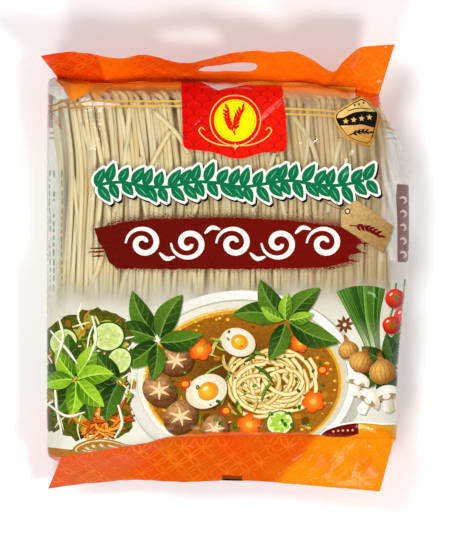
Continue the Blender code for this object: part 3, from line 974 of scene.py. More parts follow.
def print_brush(art):
    """A maroon brush stroke with dry edges, and a cream scroll of noodles on it."""
    def dry_top(x, y):
        line = np.interp(x, [-71, -41, 5, 64, 75], [22.4, 26.2, 27.2, 23.4, 14.0])
        return 0.62 * (1 - smooth_step(y, line - 0.8, line + 4.6))

    def dry_end(x, y):
        return 0.58 * (1 - smooth_step(x, 63, 77))

    def dry_low(x, y):
        return 0.55 * smooth_step(y, -3.2, 0.6)
    top = [(-66, 22), (-41, 25), (5, 26.4), (62, 21), (70, 17), (66, 26), (40, 31.5), (5, 32.4), (-41, 31.2),
           (-60, 27.6)]
    end = [(60, 16), (72, 14.5), (77, 12), (76, 6), (68, 1.5), (56, -1), (50, 2)]
    low = [(-60, 1), (-58, -2.2), (0, -3.4), (52, -3.0), (60, 0.5), (50, 1.5), (0, 0.6)]
    for outline, cover in ((top, dry_top), (end, dry_end), (low, dry_low)):
        art.add(outline, MAROON, kind="dry_ink", cover=cover)
    body = [(-70.7, 21.6), (-55, 24.6), (-41, 26.2), (-15, 27.0), (5, 27.2), (35, 25.6), (62.6, 22.4),
            (68.5, 18.5), (73.5, 14.0), (70.0, 11.5), (73.2, 8.6), (66.0, 6.6), (66.5, 3.2), (60.0, 1.8),
            (52, 0.1), (20, -0.5), (-20, -0.6), (-59.0, -0.4), (-63.2, 3.0), (-65.6, 9.7), (-69.4, 15.1)]
    body_fill = blend_from(-60, 14, rgb(98, 12, 5), 60, 8, rgb(112, 10, 5))
    art.add(rough_edge(body, 0.38, 33), body_fill, grain=0.3)
    for y, x0 in ((10.6, -73.6), (8.6, -74.6), (6.3, -72.4)):
        art.add(rough_edge(ribbon([(x0, y), (-66.0, y + 0.3)], 0.9, 0.4, 1, 4), 0.2, int(y * 10)), MAROON)
    for x, y, run in ((66, 14.6, 11), (64, 9.6, 12.5), (62, 5.0, 10)):
        art.add(rough_edge(ribbon([(x, y), (x + run, y - 1.6)], 1.0, 1, 0.3, 5), 0.22, int(x)), MAROON)
    cream = rgb(243, 238, 224)
    scrolls = 5
    for k in range(scrolls):
        cx, cy = -44.5 + 24.4 * k, 13.4
        way = 1 if k % 2 == 0 else -1
        turns = math.pi - way * np.linspace(0, 2 * math.pi * 1.45, 22)
        radius = np.linspace(9.2, 1.6, 22)
        spiral = np.stack([cx + radius * 1.05 * np.cos(turns), cy + radius * 0.98 * np.sin(turns)], axis=-1)
        art.add(ribbon(spiral, 3.0, 0.35, 0.6, 3), cream, grain=0.08)
        if k < scrolls - 1:
            link = [(cx + 8.6, cy - way * 5.2), (cx + 12.4, cy - way * 8.4), (cx + 17.0, cy - way * 7.4)]
            art.add(ribbon(link, 2.2, 0.4, 0.4, 4), cream, grain=0.08)


SEAL_OUTLINE = (
    (73.0, 92.6), (76.7, 90.9), (80.4, 86.8), (82.7, 83.5), (82.7, 79.5), (81.1, 73.4), (79.7, 68.7),
    (77.4, 65.7), (74.0, 66.0), (70.0, 67.4), (65.3, 70.0), (61.6, 74.1), (58.6, 78.8), (57.9, 82.1),
    (59.2, 84.5), (63.3, 87.2), (67.3, 89.5),
)
SEAL_CENTRE = np.array([71.0, 79.6])


def print_seal(art):
    """A gold rosette with a rounded three-sided frame, a dark band and stars."""
    outline = through(SEAL_OUTLINE + SEAL_OUTLINE[:1], 6)[:-1]

    def grown(share):
        return SEAL_CENTRE + (outline - SEAL_CENTRE) * share
    teeth = split_outline(grown(0.98), 0.85)
    spokes = unit(teeth - SEAL_CENTRE)
    teeth = teeth + spokes * np.where(np.arange(len(teeth)) % 2 == 0, 0.55, -0.25)[:, None]
    art.add(teeth, blend_from(60, 86, rgb(206, 146, 52), 80, 70, rgb(166, 104, 26)), grain=0.4)
    art.add(grown(0.93), blend_from(62, 90, rgb(240, 196, 110), 80, 68, rgb(196, 136, 54)), grain=0.3)
    art.add(grown(0.895), INK_BLACK)
    art.add(grown(0.845), blend_from(62, 90, rgb(244, 204, 124), 81, 68, rgb(188, 128, 46)), grain=0.3)
    gleam = [(58.6, 75.8), (64.5, 74.8), (72, 71.4), (80.4, 70.0), (80.0, 66.2), (70, 66.6), (62, 71)]
    art.add(gleam, rgb(222, 168, 84), cover=0.25)
    band_top = through([(59.6, 81.0), (63.3, 81.2), (68.0, 83.5), (73.3, 84.5), (81.5, 84.2)], 4)
    band_foot = through([(80.6, 75.6), (73.3, 77.4), (70.0, 77.1), (61.2, 76.8)], 4)
    art.add(np.vstack([band_top, band_foot]), INK_BLACK)
    for k in range(4):
        art.add(star(64.6 + 4.3 * k, 79.2 + 0.75 * k, 1.7, 0.45, 5), rgb(236, 186, 96))
    for k in range(3):
        art.add(star(69.2 + 2.5 * k, 87.6 + 0.75 * k, 0.9, 0.45, 5), INK_BLACK)
    art.add(ribbon([(65.6, 84.6), (70.4, 86.0), (77.8, 85.9)], 0.5, count=4), INK_BLACK)
    rice_ear(art, 66.4, 71.6, 11.0, 8, INK_BLACK, 2.7, grains=5)


def print_tag(art):
    """A kraft tag on two strings, with an ear of rice on it."""
    for start in ((51.8, 36.4), (58.3, 36.9)):
        art.add(ribbon([start, ((start[0] + 65.3) / 2, 32.8), (65.3, 30.8)], 0.4), rgb(120, 84, 44))
    corners = [(62.1, 30.4), (65.0, 33.6), (70.2, 36.7), (80.0, 30.0), (90.2, 22.9), (88.0, 15.0), (84.4, 8.6),
               (73.0, 15.6), (62.1, 22.3)]
    art.add(np.array(corners) + (0.5, -0.7), SHADOW, cover=0.45)
    art.add(corners, blend_from(64, 34, rgb(196, 160, 104), 86, 12, rgb(160, 122, 70)), grain=0.5)
    art.add(ellipse(65.6, 30.6, 1.7, 1.7), rgb(108, 66, 30))
    art.add(ellipse(65.6, 30.6, 0.9, 0.9), rgb(232, 222, 196))
    rice_ear(art, 66.6, 22.8, 17.0, -18, MAROON, 3.6)


def shreds(art, places, draw, run, width, fills, shade=None):
    """Short bent strips laid at random turns."""
    for x, y in places:
        turn, half = draw.uniform(0, math.pi), draw.uniform(*run) / 2
        dx, dy = math.cos(turn) * half, math.sin(turn) * half
        bow = draw.uniform(-0.35, 0.35) * half
        line = np.array([(x - dx, y - dy), (x - dy / half * bow, y + dx / half * bow), (x + dx, y + dy)])
        breadth = draw.uniform(*width)
        if shade is not None:
            art.add(ribbon(line + (0.25, -0.45), breadth * 1.1, 0.5, 0.4, 3), shade)
        art.add(ribbon(line, breadth, 0.5, 0.4, 3), fills[draw.integers(len(fills))], grain=0.3)


def soup_noodles(art, cx, cy, rx, ry, draw):
    """A nest of noodles in the bowl, as overlapping bows."""
    for k in range(34):
        x, y = cx + draw.uniform(-0.34, 0.34) * rx, cy + draw.uniform(-0.34, 0.34) * ry
        size = draw.uniform(0.35, 0.8)
        start = draw.uniform(0, 360)
        turn = draw.uniform(-30, 30)
        arc = ellipse(x, y, rx * size, ry * size, turn, start, start + draw.uniform(100, 210), 7)
        art.add(ribbon(arc, 2.6, count=3), rgb(156, 100, 30), grain=0.2)
        tone = draw.uniform(0, 1)
        light = rgb(240, 218, 146) * tone + rgb(222, 184, 96) * (1 - tone)
        art.add(ribbon(arc, 1.9, count=3), light, grain=0.2)
        art.add(ribbon(arc, 0.55, count=3), light * 0.4 + rgb(255, 244, 206) * 0.6)


def mushroom(art, x, y, size, turn):
    """A brown mushroom cap with a star cut in it."""
    art.add(ellipse(x + 0.6, y - 0.9, size * 1.04, size * 0.86, turn), rgb(54, 28, 8), cover=0.8)
    fill = blend_out(x - size * 0.2, y + size * 0.3, size * 1.2, size, rgb(196, 142, 88), rgb(104, 58, 26))
    art.add(ellipse(x, y, size, size * 0.82, turn), fill, grain=0.9)
    for k in range(3):
        angle = math.radians(turn + 60 * k)
        c, s = math.cos(angle) * size * 0.64, math.sin(angle) * size * 0.52
        cut = ribbon([(x - c, y - s), (x, y), (x + c, y + s)], size * 0.17, 0.2, 0.2, 4)
        art.add(cut, rgb(232, 200, 150))


def carrot(art, x, y, size, turn):
    """A slice of carrot cut as a flower."""
    petals = []
    for k in range(5):
        at = turn + 72 * k
        middle = place_on(x, y, size * 0.52, size * 0.48, at)
        petals.append(ellipse(*middle, size * 0.5, size * 0.47, at, -80, 80, 7))
    outline = np.vstack(petals)
    art.add(outline + (0.4, -0.6), rgb(100, 36, 4), cover=0.7)
    art.add(outline, blend_out(x, y, size, size, rgb(250, 146, 36), rgb(228, 78, 8)), grain=0.35)
    art.add(ellipse(x, y, size * 0.28, size * 0.26), rgb(252, 176, 66))


def round_slice(art, x, y, size, turn, rind, flesh, wedge):
    """A round slice with a rind and eight pale wedges."""
    art.add(ellipse(x + 0.4, y - 0.7, size, size * 0.9, turn), SHADOW, cover=0.6)
    art.add(ellipse(x, y, size, size * 0.9, turn), rind)
    art.add(ellipse(x, y, size * 0.9, size * 0.8, turn), flesh, grain=0.3)
    for k in range(8):
        angle = turn + 45 * k
        place = place_on(x, y, size * 0.1, size * 0.1, angle)
        art.add(leaf_outline(*place, size * 0.68, size * 0.46, angle), wedge, grain=0.5)


def egg(art, x, y, size, turn):
    """Half a boiled egg."""
    art.add(ellipse(x + 0.5, y - 0.9, size * 1.02, size * 0.8, turn), rgb(70, 40, 10), cover=0.7)
    white = blend_out(x, y, size, size, rgb(250, 246, 234), rgb(222, 206, 170))
    art.add(ellipse(x, y, size, size * 0.78, turn), white)
    yolk = blend_out(x, y, size * 0.55, size * 0.5, rgb(252, 188, 48), rgb(232, 130, 14))
    art.add(ellipse(x + size * 0.08, y, size * 0.5, size * 0.44, turn), yolk, grain=0.4)
    art.add(ellipse(x - size * 0.06, y + size * 0.14, size * 0.14, size * 0.08, 30), rgb(255, 232, 170))


def tomato(art, x, y, size, turn):
    """A small red tomato with its green star."""
    art.add(ellipse(x + 0.7, y - 1.0, size, size * 0.95), SHADOW, cover=0.6)
    reach = size * 1.3
    fill = blend_out(x - size * 0.3, y + size * 0.3, reach, reach, rgb(244, 62, 26), rgb(156, 10, 4))
    art.add(ellipse(x, y, size, size * 0.95), fill, grain=0.25)
    art.add(ellipse(x - size * 0.42, y + size * 0.42, size * 0.2, size * 0.1, 45), rgb(255, 220, 206))
    art.add(star(x + size * 0.1, y + size * 0.1, size * 0.52, 0.3, 5, turn), rgb(60, 120, 26), grain=0.4)


def onion(art, x, y, size, turn):
    """A golden onion with the lines of its skin."""
    put = placer(x, y, size, turn)
    neck = [(0.22, 1.0), (0.12, 1.55), (-0.1, 1.5), (-0.2, 1.0)]
    body = put(np.vstack([ellipse(0, 0, 1.0, 0.86, start=130, end=410, points=20), neck]))
    light, dark = rgb(232, 176, 84), rgb(132, 72, 14)
    skin = blend_out(x - size * 0.3, y + size * 0.2, size * 1.4, size * 1.3, light, dark)
    art.add(body + (0.6, -0.9), SHADOW, cover=0.6)
    art.add(body, skin, grain=0.5)
    for bow in (-0.85, -0.5, -0.15, 0.2, 0.55):
        line = put([(0.0, 1.0), (bow * 0.8, 0.5), (bow, 0.0), (bow * 0.8, -0.5), (0.0, -0.85)])
        art.add(ribbon(line, 0.3, 0.4, 0.4, 3), rgb(120, 62, 12), cover=0.7)


def white_mushroom(art, x, y, size, turn):
    """A pale mushroom cut through its cap and stem."""
    put = placer(x, y, size, turn)
    stem = put([(-0.32, 0.1), (0.32, 0.1), (0.40, -0.85), (0.0, -1.0), (-0.38, -0.82)])
    cap = put(ellipse(0, 0.12, 1.0, 0.78, start=-12, end=192, points=16))
    stem_fill = blend_from(x - size * 0.3, y, rgb(244, 240, 224), x + size * 0.4, y, rgb(206, 196, 162))
    cap_fill = blend_out(x, y + size * 0.4, size * 1.3, size * 1.2, rgb(250, 247, 236), rgb(208, 196, 162))
    for part in (cap, stem):
        art.add(part + (0.6, -0.9), SHADOW, cover=0.5)
    art.add(stem, stem_fill, grain=0.2)
    art.add(cap, cap_fill, grain=0.2)
    art.add(put(ellipse(0, 0.10, 0.72, 0.22, points=12)), rgb(170, 132, 92), grain=0.6)
    art.add(put(ellipse(0, 0.14, 0.30, 0.20, points=8)), rgb(240, 234, 214))


def lay_leaves(art, tones, rows):
    """Leaves from rows of x, y, length, width, turn, bend and the number of their pair of tones."""
    for x, y, length, width, turn, bend, pair in rows:
        art.leaf(x, y, length, width, turn, *tones[pair], bend)


def print_bowl(art):
    """A white bowl of noodle soup from above, with mushrooms, egg, carrot flowers, lime and leaves."""
    draw = np.random.default_rng(41)
    cx, cy = 8.6, -59.5
    art.add(ellipse(cx + 2, cy - 3, 64, 49.5), rgb(120, 114, 92), cover=0.45)
    side = blend_from(-50, -30, rgb(222, 219, 203), 40, -95, rgb(176, 170, 150))
    rim = blend_from(-45, -70, rgb(216, 212, 196), 50, -40, rgb(238, 236, 224))
    wall = blend_from(-45, -60, rgb(228, 224, 204), 60, -50, rgb(206, 200, 180))
    broth = blend_out(cx, cy, 54, 40, rgb(78, 42, 6), rgb(156, 96, 18))
    for dx, dy, rx, ry, fill, grain in (
            (0, 1.2, 62.4, 48.6, side, 0.15), (0, 0, 61.6, 47.4, rim, 0.15),
            (0.4, 0.8, 57.2, 43.4, rgb(184, 178, 156), 0.15), (0.4, 1.2, 56.8, 42.8, wall, 0.15),
            (0.6, 2.0, 54.0, 40.2, rgb(226, 196, 116), 0.3), (0.6, 2.3, 53.0, 39.2, rgb(212, 150, 36), 0.4),
            (0.6, 2.6, 51.6, 37.8, broth, 0.5)):
        art.add(ellipse(cx + dx, cy - dy, rx, ry), fill, grain=grain)
    for x, y in scatter(draw, cx, cy - 2.6, 49, 35.5, 90):
        size = draw.uniform(0.6, 3.4)
        pick = (rgb(194, 124, 22), rgb(126, 74, 12), rgb(64, 34, 6), rgb(164, 92, 16))[draw.integers(4)]
        drop = ellipse(x, y, size, size * draw.uniform(0.5, 0.9), draw.uniform(0, 180), points=8)
        art.add(drop, pick, cover=0.7)
    for x, y in scatter(draw, cx, cy - 2.4, 52, 38, 44, inner=0.86):
        size = draw.uniform(0.4, 1.1)
        art.add(ellipse(x, y, size, size * 0.8, points=7), rgb(238, 176, 44))
    soup_noodles(art, 24, -62, 25, 19, draw)
    shreds(art, scatter(draw, -8, -62, 32, 24, 34), draw, (6, 14), (1.0, 1.9),
           (rgb(104, 140, 34), rgb(206, 176, 96), rgb(150, 176, 60), rgb(62, 100, 24)), rgb(66, 38, 8))
    for place in ((-27, -50, 9.4, 12), (-36, -66, 9.6, -30), (-24.5, -80, 10.0, 40), (-6, -87, 8.6, 70)):
        mushroom(art, *place)
    for place in ((-10.5, -66.5, 11.5, 24), (6.5, -40, 9.6, 160)):
        egg(art, *place)
    for place in ((-14, -44, 6.2, 10), (47.0, -72, 6.2, 44), (12.5, -84.5, 6.4, 20), (40, -40.5, 5.2, 80)):
        carrot(art, *place)
    round_slice(art, 29, -83.5, 7.6, 15, rgb(64, 118, 22), rgb(222, 230, 160), rgb(160, 196, 64))
    for x, y in ((-22, -62.5), (0, -77), (52, -55)):
        art.add(ellipse(x, y, 3.0, 2.6, points=14), rgb(206, 44, 8), grain=0.3)
        art.add(ellipse(x, y, 1.9, 1.6, points=10), rgb(240, 150, 40), grain=0.3)
    for x, y in scatter(draw, cx, cy - 3, 47, 34, 70):
        size, turn = draw.uniform(0.7, 1.5), draw.uniform(0, 180)
        art.add(ellipse(x, y, size, size * 0.7, turn, points=8), rgb(46, 96, 16), grain=0.3)
        if draw.random() < 0.5:
            art.add(ellipse(x, y, size * 0.45, size * 0.3, turn, points=6), rgb(150, 186, 70))
    tones = ((rgb(22, 52, 10), rgb(84, 122, 26)), (rgb(56, 104, 12), rgb(150, 186, 46)))
    lay_leaves(art, tones, (
        (-38, -36, 27, 12, 118, 0.08, 0), (-38, -38, 25, 12, 168, -0.06, 0), (-36, -38, 27, 13, 62, 0.07, 0),
        (-37, -40, 24, 12, 214, 0.05, 0), (-36, -40, 24, 12, 10, -0.06, 0), (-37, -41, 20, 10, 262, 0.05, 0),
        (30, -27, 27, 12, 176, -0.08, 0), (32, -28, 26, 12.5, 122, 0.08, 0), (34, -29, 30, 13, -22, -0.07, 0),
        (33, -28, 25, 12, 44, 0.05, 0), (32, -30, 22, 11, 246, 0.05, 0), (32, -28, 15, 7.5, 84, 0.05, 1),
        (31, -28, 14, 7, 150, 0.05, 1), (34, -28, 14, 7, 14, -0.05, 1)))


def print_left_greens(art):
    """A bed of salad with leaves, cucumber slices and shreds to the left of the bowl."""
    draw = np.random.default_rng(51)
    bed = [(-FAR, -34), (-97, -32), (-90, -27), (-82, -25), (-72, -22), (-62, -23), (-55, -28), (-50, -36),
           (-51, -48), (-52.5, -60), (-51.5, -72), (-49, -82), (-52, -88), (-60, -92), (-70, -90), (-80, -93),
           (-90, -88), (-97, -90), (-FAR, -88)]
    art.add(rough_edge(bed, 1.3, 52, 3.0), rgb(80, 80, 14), grain=1.2)
    salad = (rgb(52, 74, 12), rgb(140, 150, 36), rgb(168, 168, 50), rgb(150, 92, 24), rgb(34, 46, 10),
             rgb(196, 190, 96))
    strips = (rgb(222, 214, 150), rgb(180, 186, 60), rgb(196, 112, 30), rgb(150, 64, 14),
              rgb(236, 232, 206), rgb(110, 140, 30))
    for x, y in scatter(draw, -74, -58, 25, 33, 130):
        size = draw.uniform(1.2, 4.2)
        pick = salad[draw.integers(6)]
        scrap = ellipse(x, y, size, size * draw.uniform(0.35, 0.8), draw.uniform(0, 180), points=8)
        art.add(scrap, pick, cover=0.85)
    shreds(art, scatter(draw, -74, -58, 25, 33, 104), draw, (6, 17), (0.6, 1.3), strips)
    for x, y, size, turn in ((-63.5, -37, 9.2, 10), (-57.5, -50, 7.6, 60), (-88, -40, 8.4, 30)):
        round_slice(art, x, y, size, turn, rgb(34, 82, 18), rgb(214, 222, 150), rgb(190, 206, 118))
    shreds(art, scatter(draw, -68, -82, 15, 9, 46), draw, (6, 15), (1.0, 1.7),
           (rgb(226, 120, 24), rgb(240, 152, 50), rgb(198, 84, 12)), rgb(90, 40, 8))
    tones = ((rgb(20, 50, 10), rgb(74, 112, 24)), (rgb(58, 110, 8), rgb(158, 200, 44)))
    lay_leaves(art, tones, (
        (-60, -62, 22, 11, 200, 0.06, 0), (-58, -62, 22, 12, 252, -0.07, 0), (-58, -60, 20, 11, 130, 0.06, 0),
        (-82, -58, 23, 13, 98, 0.05, 0), (-84, -60, 20, 12, 158, 0.06, 0), (-82, -62, 22, 12, 236, 0.06, 0),
        (-80, -62, 22, 12, 288, 0.05, 0), (-80, -58, 19, 11, 62, -0.05, 1), (-80, -60, 20, 11, 8, 0.06, 1),
        (-82, -59, 18, 10, 124, 0.05, 1), (-81, -61, 19, 11, 262, 0.05, 1), (-80, -61, 20, 11, 316, -0.06, 1),
        (-83, -60, 17, 10, 192, -0.06, 1)))
    for points in ([(-95, -34), (-86, -44), (-80, -52)], [(-92, -66), (-91, -78), (-88, -90)],
                   [(-72, -26), (-70, -38), (-74, -50)], [(-58, -74), (-56, -84), (-60, -92)],
                   [(-96, -74), (-86, -80), (-76, -78)], [(-90, -28), (-88, -38), (-92, -52)]):
        art.add(ribbon(points, 1.7, 0.7, 0.4), rgb(150, 146, 96), grain=0.2)
        art.add(ribbon(np.array(points) + (-0.2, 0.2), 1.2, 0.7, 0.4), rgb(240, 238, 216), grain=0.2)


def print_right_greens(art):
    """A sheaf of long stalks, small tomatoes, pale mushrooms and leaves to the right of the bowl."""
    draw = np.random.default_rng(61)
    for k in range(15):
        at = (k * 7) % 15
        top_x = 60.5 + 1.75 * at
        line = [(top_x, -9.5 - 0.045 * (at - 8) ** 2), (68.5 + 0.95 * at, -27), (76.0 + 0.42 * at, -42),
                (78.5 + 0.34 * at, -55)]
        tone = draw.uniform(0, 1)
        green = rgb(34, 78, 18) * tone + rgb(104, 148, 46) * (1 - tone)
        fill = blend_from(0, -26, green, 0, -52, rgb(220, 226, 176))
        art.add(ribbon(line, 2.7, 0.8, 0.9), rgb(24, 48, 10), cover=0.9)
        art.add(ribbon(line, 2.1, 0.8, 0.9), fill, grain=0.3)
        art.add(ribbon(np.array(line) + (-0.4, 0), 0.4, 0.6, 0.6), green * 1.7 + 0.03)
    art.add(ribbon([(75.5, -43.6), (80, -45), (85.6, -43.4)], 2.0), rgb(196, 150, 78), grain=0.4)
    for points in ([(92, -8), (91, -18), (88, -30), (86, -42)], [(97, -6), (96, -20), (92, -34), (88, -46)]):
        art.add(ribbon(points, 1.1), rgb(84, 128, 40))
    for place in ((91.5, -16.5, 5.6, 80), (96.5, -26.5, 5.8, 110), (89.5, -31.0, 5.2, 60)):
        tomato(art, *place)
    for place in ((90, -52, 19, 11, 74), (93, -52, 18, 10, 112), (90, -54, 19, 11, 34),
                  (92, -56, 20, 11, 296), (88, -56, 18, 10, 250), (86, -50, 15, 9, 150),
                  (84, -56, 17, 10, 200)):
        art.leaf(*place, rgb(18, 46, 8), rgb(62, 94, 22), 0.05)
    for place in ((66.0, -44.5, 5.6, 14), (72.5, -51.0, 6.4, -24), (84.5, -56.5, 7.4, 10)):
        onion(art, *place)
    for place in ((70.5, -62.5, 6.8, -16), (87.0, -70.5, 8.0, 12), (76.0, -72.5, 7.2, -34)):
        white_mushroom(art, *place)
    for k in range(8):
        angle = 45 * k + 10
        pod = leaf_outline(*place_on(64.0, -30.6, 0.8, 0.8, angle), 4.2, 1.9, angle)
        art.add(pod, rgb(112, 60, 22), grain=0.5)


def print_foot_badges(art):
    """An ochre badge at the lower left and a maroon and gold banner at the lower right."""
    art.add([(-FAR, -97.0), (-96, -97.0), (-82, -98.2), (-80, -104), (-FAR, -104)], OCHRE, grain=0.4)
    art.add(ellipse(-68, -103.6, 18.0, 11.6), OCHRE, grain=0.3)
    art.add(ellipse(-68, -103.6, 17.0, 10.6), rgb(226, 206, 150))
    art.add(ellipse(-68, -103.6, 16.5, 10.1), OCHRE, grain=0.3)
    for k in range(7):
        place = place_on(-68, -103.6, 13.4, 7.6, 35 + 18.5 * k)
        art.add(star(*place, 1.4, 0.45, 5), rgb(232, 214, 166))
    edge = [(50.0, -92.4), (54.0, -88.0), (58.9, -85.9), (64, -84.6), (70.7, -83.7), (80, -84.2),
            (89.6, -84.8), (FAR, -84)]
    raised = [(x, y + 0.9) for x, y in edge]
    gold = [(71.3, -83.9), (80, -84.4), (89.6, -85.0), (FAR, -84.3), (FAR, -100), (72.6, -100)]
    art.add(np.vstack([through(raised, 3), [(FAR, -100), (49, -100)]]), WHITE)
    art.add(np.vstack([through(edge, 3), [(FAR, -100), (50, -100)]]), MAROON, grain=0.2)
    art.add(gold, rgb(214, 152, 34), grain=0.3)
    for k in range(5):
        art.add(star(58.0 + 2.6 * k, -88.3 + 0.2 * k, 0.8, 0.45, 5), rgb(222, 196, 150))


def print_foot_orange(art):
    """The orange of the foot where it reaches over the body's lower end."""
    edge = [(-FAR, -103), (-95, -103.2), (-87.5, -102.4), (-68, -98.3), (-46.4, -94.5), (-30.2, -90.7),
            (-14, -88.9), (7.6, -88.6), (40, -89.1), (61.6, -91.8), (68, -90.7), (77.8, -87.5), (84.2, -86.4),
            (89, -88.4), (96, -93.0), (FAR, -93.4)]
    outline = np.vstack([through(edge, 4), [(FAR, -FAR), (-FAR, -FAR)]])
    art.add(outline, orange_tone, kind="orange_ink")
    gap = [(-32, -90.3), (-27, -90.0), (-18, -89.8), (-9, -90.6), (-16, -91.8), (-25, -91.3)]
    art.add(through(gap, 3), rgb(206, 106, 50), grain=0.3)


def front_print():
    """All that is printed on the body's front film."""
    art = Print()
    for lay in (
            print_haze_and_gap_light, print_gusset, print_ground, print_shoulder, print_gold_lines, print_label,
            print_garland, print_brush, print_seal, print_tag, print_bowl, print_left_greens,
            print_right_greens, print_foot_badges, print_foot_orange):
        lay(art)
    return art


def back_print():
    """The back: orange ends, gold lines, and a pale panel with a plain frame on each side of the seam."""
    art = Print()
    for way in (1, -1):
        art.add(box(-FAR, way * 76, FAR, way * FAR), orange_tone, kind="orange_ink")
        for y in (73.4, 70.6):
            art.add(ribbon([(-FAR, way * y), (0, way * y), (FAR, way * y)], 1.05), GOLD, cover=0.95)
    art.add(box(-7, -75.5, 7, 75.5), HAZE, cover=0.35, grain=0.05)
    for way in (1, -1):
        x0, x1 = sorted((way * 16, way * 78))
        for grow, fill in ((0.0, GREEN), (-1.2, WHITE), (-2.0, GREEN), (-2.4, GROUND)):
            art.add(box(x0 - grow, -58 - grow, x1 + grow, 54 + grow), fill, grain=0.06)
        for k in range(11):
            y = 44 - 9.2 * k
            line = [(x0 + 7, y), (x1 - 7 - 6 * (k % 3), y)]
            art.add(ribbon(line, 1.3, count=2), rgb(122, 150, 122))
        art.add(ellipse(way * 47, -2, 14, 14), MAROON)
        for turn in (60, 90, 120):
            rice_ear(art, way * 47, -12.5, 19, turn, LIGHT_GOLD, 4.2)
    return art


def fin_print(way):
    """The orange of a fin, with a dark print mark in the middle of the foot's far edge."""
    art = Print()
    art.add(box(-150, way * 60, 150, way * 150), orange_tone, kind="orange_ink")
    if way < 0:
        art.add(box(-2.2, -112.3, 8.7, -114.2), rgb(122, 52, 6))
        art.add(box(-2.2, -114.2, 8.7, -118.0), INK_BLACK)
    return art


def split_outline(outline, step):
    """A closed outline with points no further apart than step."""
    points = []
    for start, end in zip(outline, np.roll(outline, -1, axis=0)):
        count = max(1, int(math.ceil(np.linalg.norm(end - start) / step)))
        points.append(start + (end - start) * (np.arange(count) / count)[:, None])
    return np.vstack(points)


def grid_places(low, high, step):
    """Staggered rows of places inside a rectangle."""
    rows = []
    count = int((high[1] - low[1]) / (step * 0.866))
    for k in range(1, count):
        y = low[1] + (high[1] - low[1]) * k / count
        x = np.arange(low[0] + step * (0.5 if k % 2 else 1.0), high[0] - step * 0.3, step)
        rows.append(np.stack([x, np.full_like(x, y)], axis=-1))
    return np.vstack(rows)


def triangulate(sheet, outlines, lines, step):
    """Triangles over a sheet whose edges follow every outline and open line."""
    points, edges = [], []
    for outline in outlines + [split_outline(np.array(sheet.edge), step)] + sheet.holes:
        start = len(points)
        points += [tuple(p) for p in outline]
        edges += [(start + k, start + (k + 1) % len(outline)) for k in range(len(outline))]
    for line in lines:
        start = len(points)
        points += [tuple(p) for p in line]
        edges += [(start + k, start + k + 1) for k in range(len(line) - 1)]
    tree = kdtree.KDTree(len(points))
    for k, point in enumerate(points):
        tree.insert((*point, 0), k)
    tree.balance()
    corners = np.array(sheet.edge)
    for place in grid_places(corners.min(axis=0), corners.max(axis=0), step):
        if tree.find((*place, 0))[2] > GRID_CLEAR:
            points.append(tuple(place))
    found = geometry.delaunay_2d_cdt([Vector(p) for p in points], edges, [], 0, 1e-4, False)
    places = np.array([v[:] for v in found[0]])
    faces = np.array(found[2])
    centres = places[faces].mean(axis=1)
    keep = inside(centres, corners)
    for hole in sheet.holes:
        keep &= ~inside(centres, hole)
    a, b, c = (places[faces[:, k]] for k in range(3))
    area = (b[:, 0] - a[:, 0]) * (c[:, 1] - a[:, 1]) - (b[:, 1] - a[:, 1]) * (c[:, 0] - a[:, 0])
    keep &= np.abs(area) > 1e-5
    faces = np.where((area > 0)[:, None], faces, faces[:, ::-1])[keep]
    used = np.unique(faces)
    index = np.zeros(len(places), int)
    index[used] = np.arange(len(used))
    return places[used], index[faces]


def films_of(sheet, lines):
    """Film places of many plan lines at once."""
    if not lines:
        return []
    ends = np.cumsum([len(line) for line in lines])[:-1]
    return np.split(sheet.film_of(np.vstack(lines)), ends)


def new_mesh(name, points, faces, *materials):
    """A smooth mesh with its materials."""
    mesh = bpy.data.meshes.new(name)
    mesh.from_pydata(points, [], faces)
    mesh.shade_smooth()
    for material in materials:
        mesh.materials.append(material)
    return mesh


def put_in_scene(name, data):
    """An object of the scene that shows a mesh, a lamp or a camera."""
    thing = bpy.data.objects.new(name, data)
    bpy.context.scene.collection.objects.link(thing)
    return thing


def set_map(mesh, name, places):
    """A named map with a place for every corner of every face."""
    mesh.uv_layers.new(name=name).uv.foreach_set("vector", places.ravel())


def set_shares(mesh, name, domain, values):
    """A named number for every face or point."""
    mesh.attributes.new(name, "FLOAT", domain).data.foreach_set("value", values)


def set_ink(mesh, domain, colours):
    """The ink's colour, with its cover as the fourth number."""
    mesh.color_attributes.new("ink", "FLOAT_COLOR", domain).data.foreach_set("color", colours.ravel())


def lay_inks(art, kinds, outlines, centres, corner_plan):
    """Every face's kind of ink, its corners' colours with their cover, and its grain."""
    solid_kinds = [k for k, kind in enumerate(kinds) if kind not in SEEN_THROUGH]
    kind_of = np.zeros(len(centres), int)
    colours = np.ones((len(centres), 3, 4))
    colours[:, :, 3] = 0
    grain = np.zeros(len(centres))
    for (_, fill, kind, cover, rough), outline in zip(art.shapes, outlines):
        low, high = outline.min(axis=0), outline.max(axis=0)
        near = np.where(((centres >= low) & (centres <= high)).all(axis=1))[0]
        hit = near[inside(centres[near], outline)]
        if not len(hit):
            continue
        x, y = corner_plan[hit, :, 0].ravel(), corner_plan[hit, :, 1].ravel()
        new = np.array(fill(x, y)).reshape(-1, 3, 3)
        share = np.array(cover(x, y)).reshape(-1, 3)
        if kind in SEEN_THROUGH:
            under = colours[hit]
            total = share + under[:, :, 3] * (1 - share)
            mixed = new * share[..., None] + under[:, :, :3] * (under[:, :, 3] * (1 - share))[..., None]
            colours[hit, :, :3] = mixed / np.maximum(total, 1e-6)[..., None]
            solid = np.isin(kind_of[hit], solid_kinds)
            colours[hit, :, 3] = np.where(solid[:, None], 1.0, total)
            kind_of[hit] = np.where(solid, kind_of[hit], kinds.index(kind))
        else:
            colours[hit, :, :3] = new
            colours[hit, :, 3] = 1.0
            kind_of[hit] = kinds.index(kind)
        grain[hit] = rough
    return kind_of, colours, grain


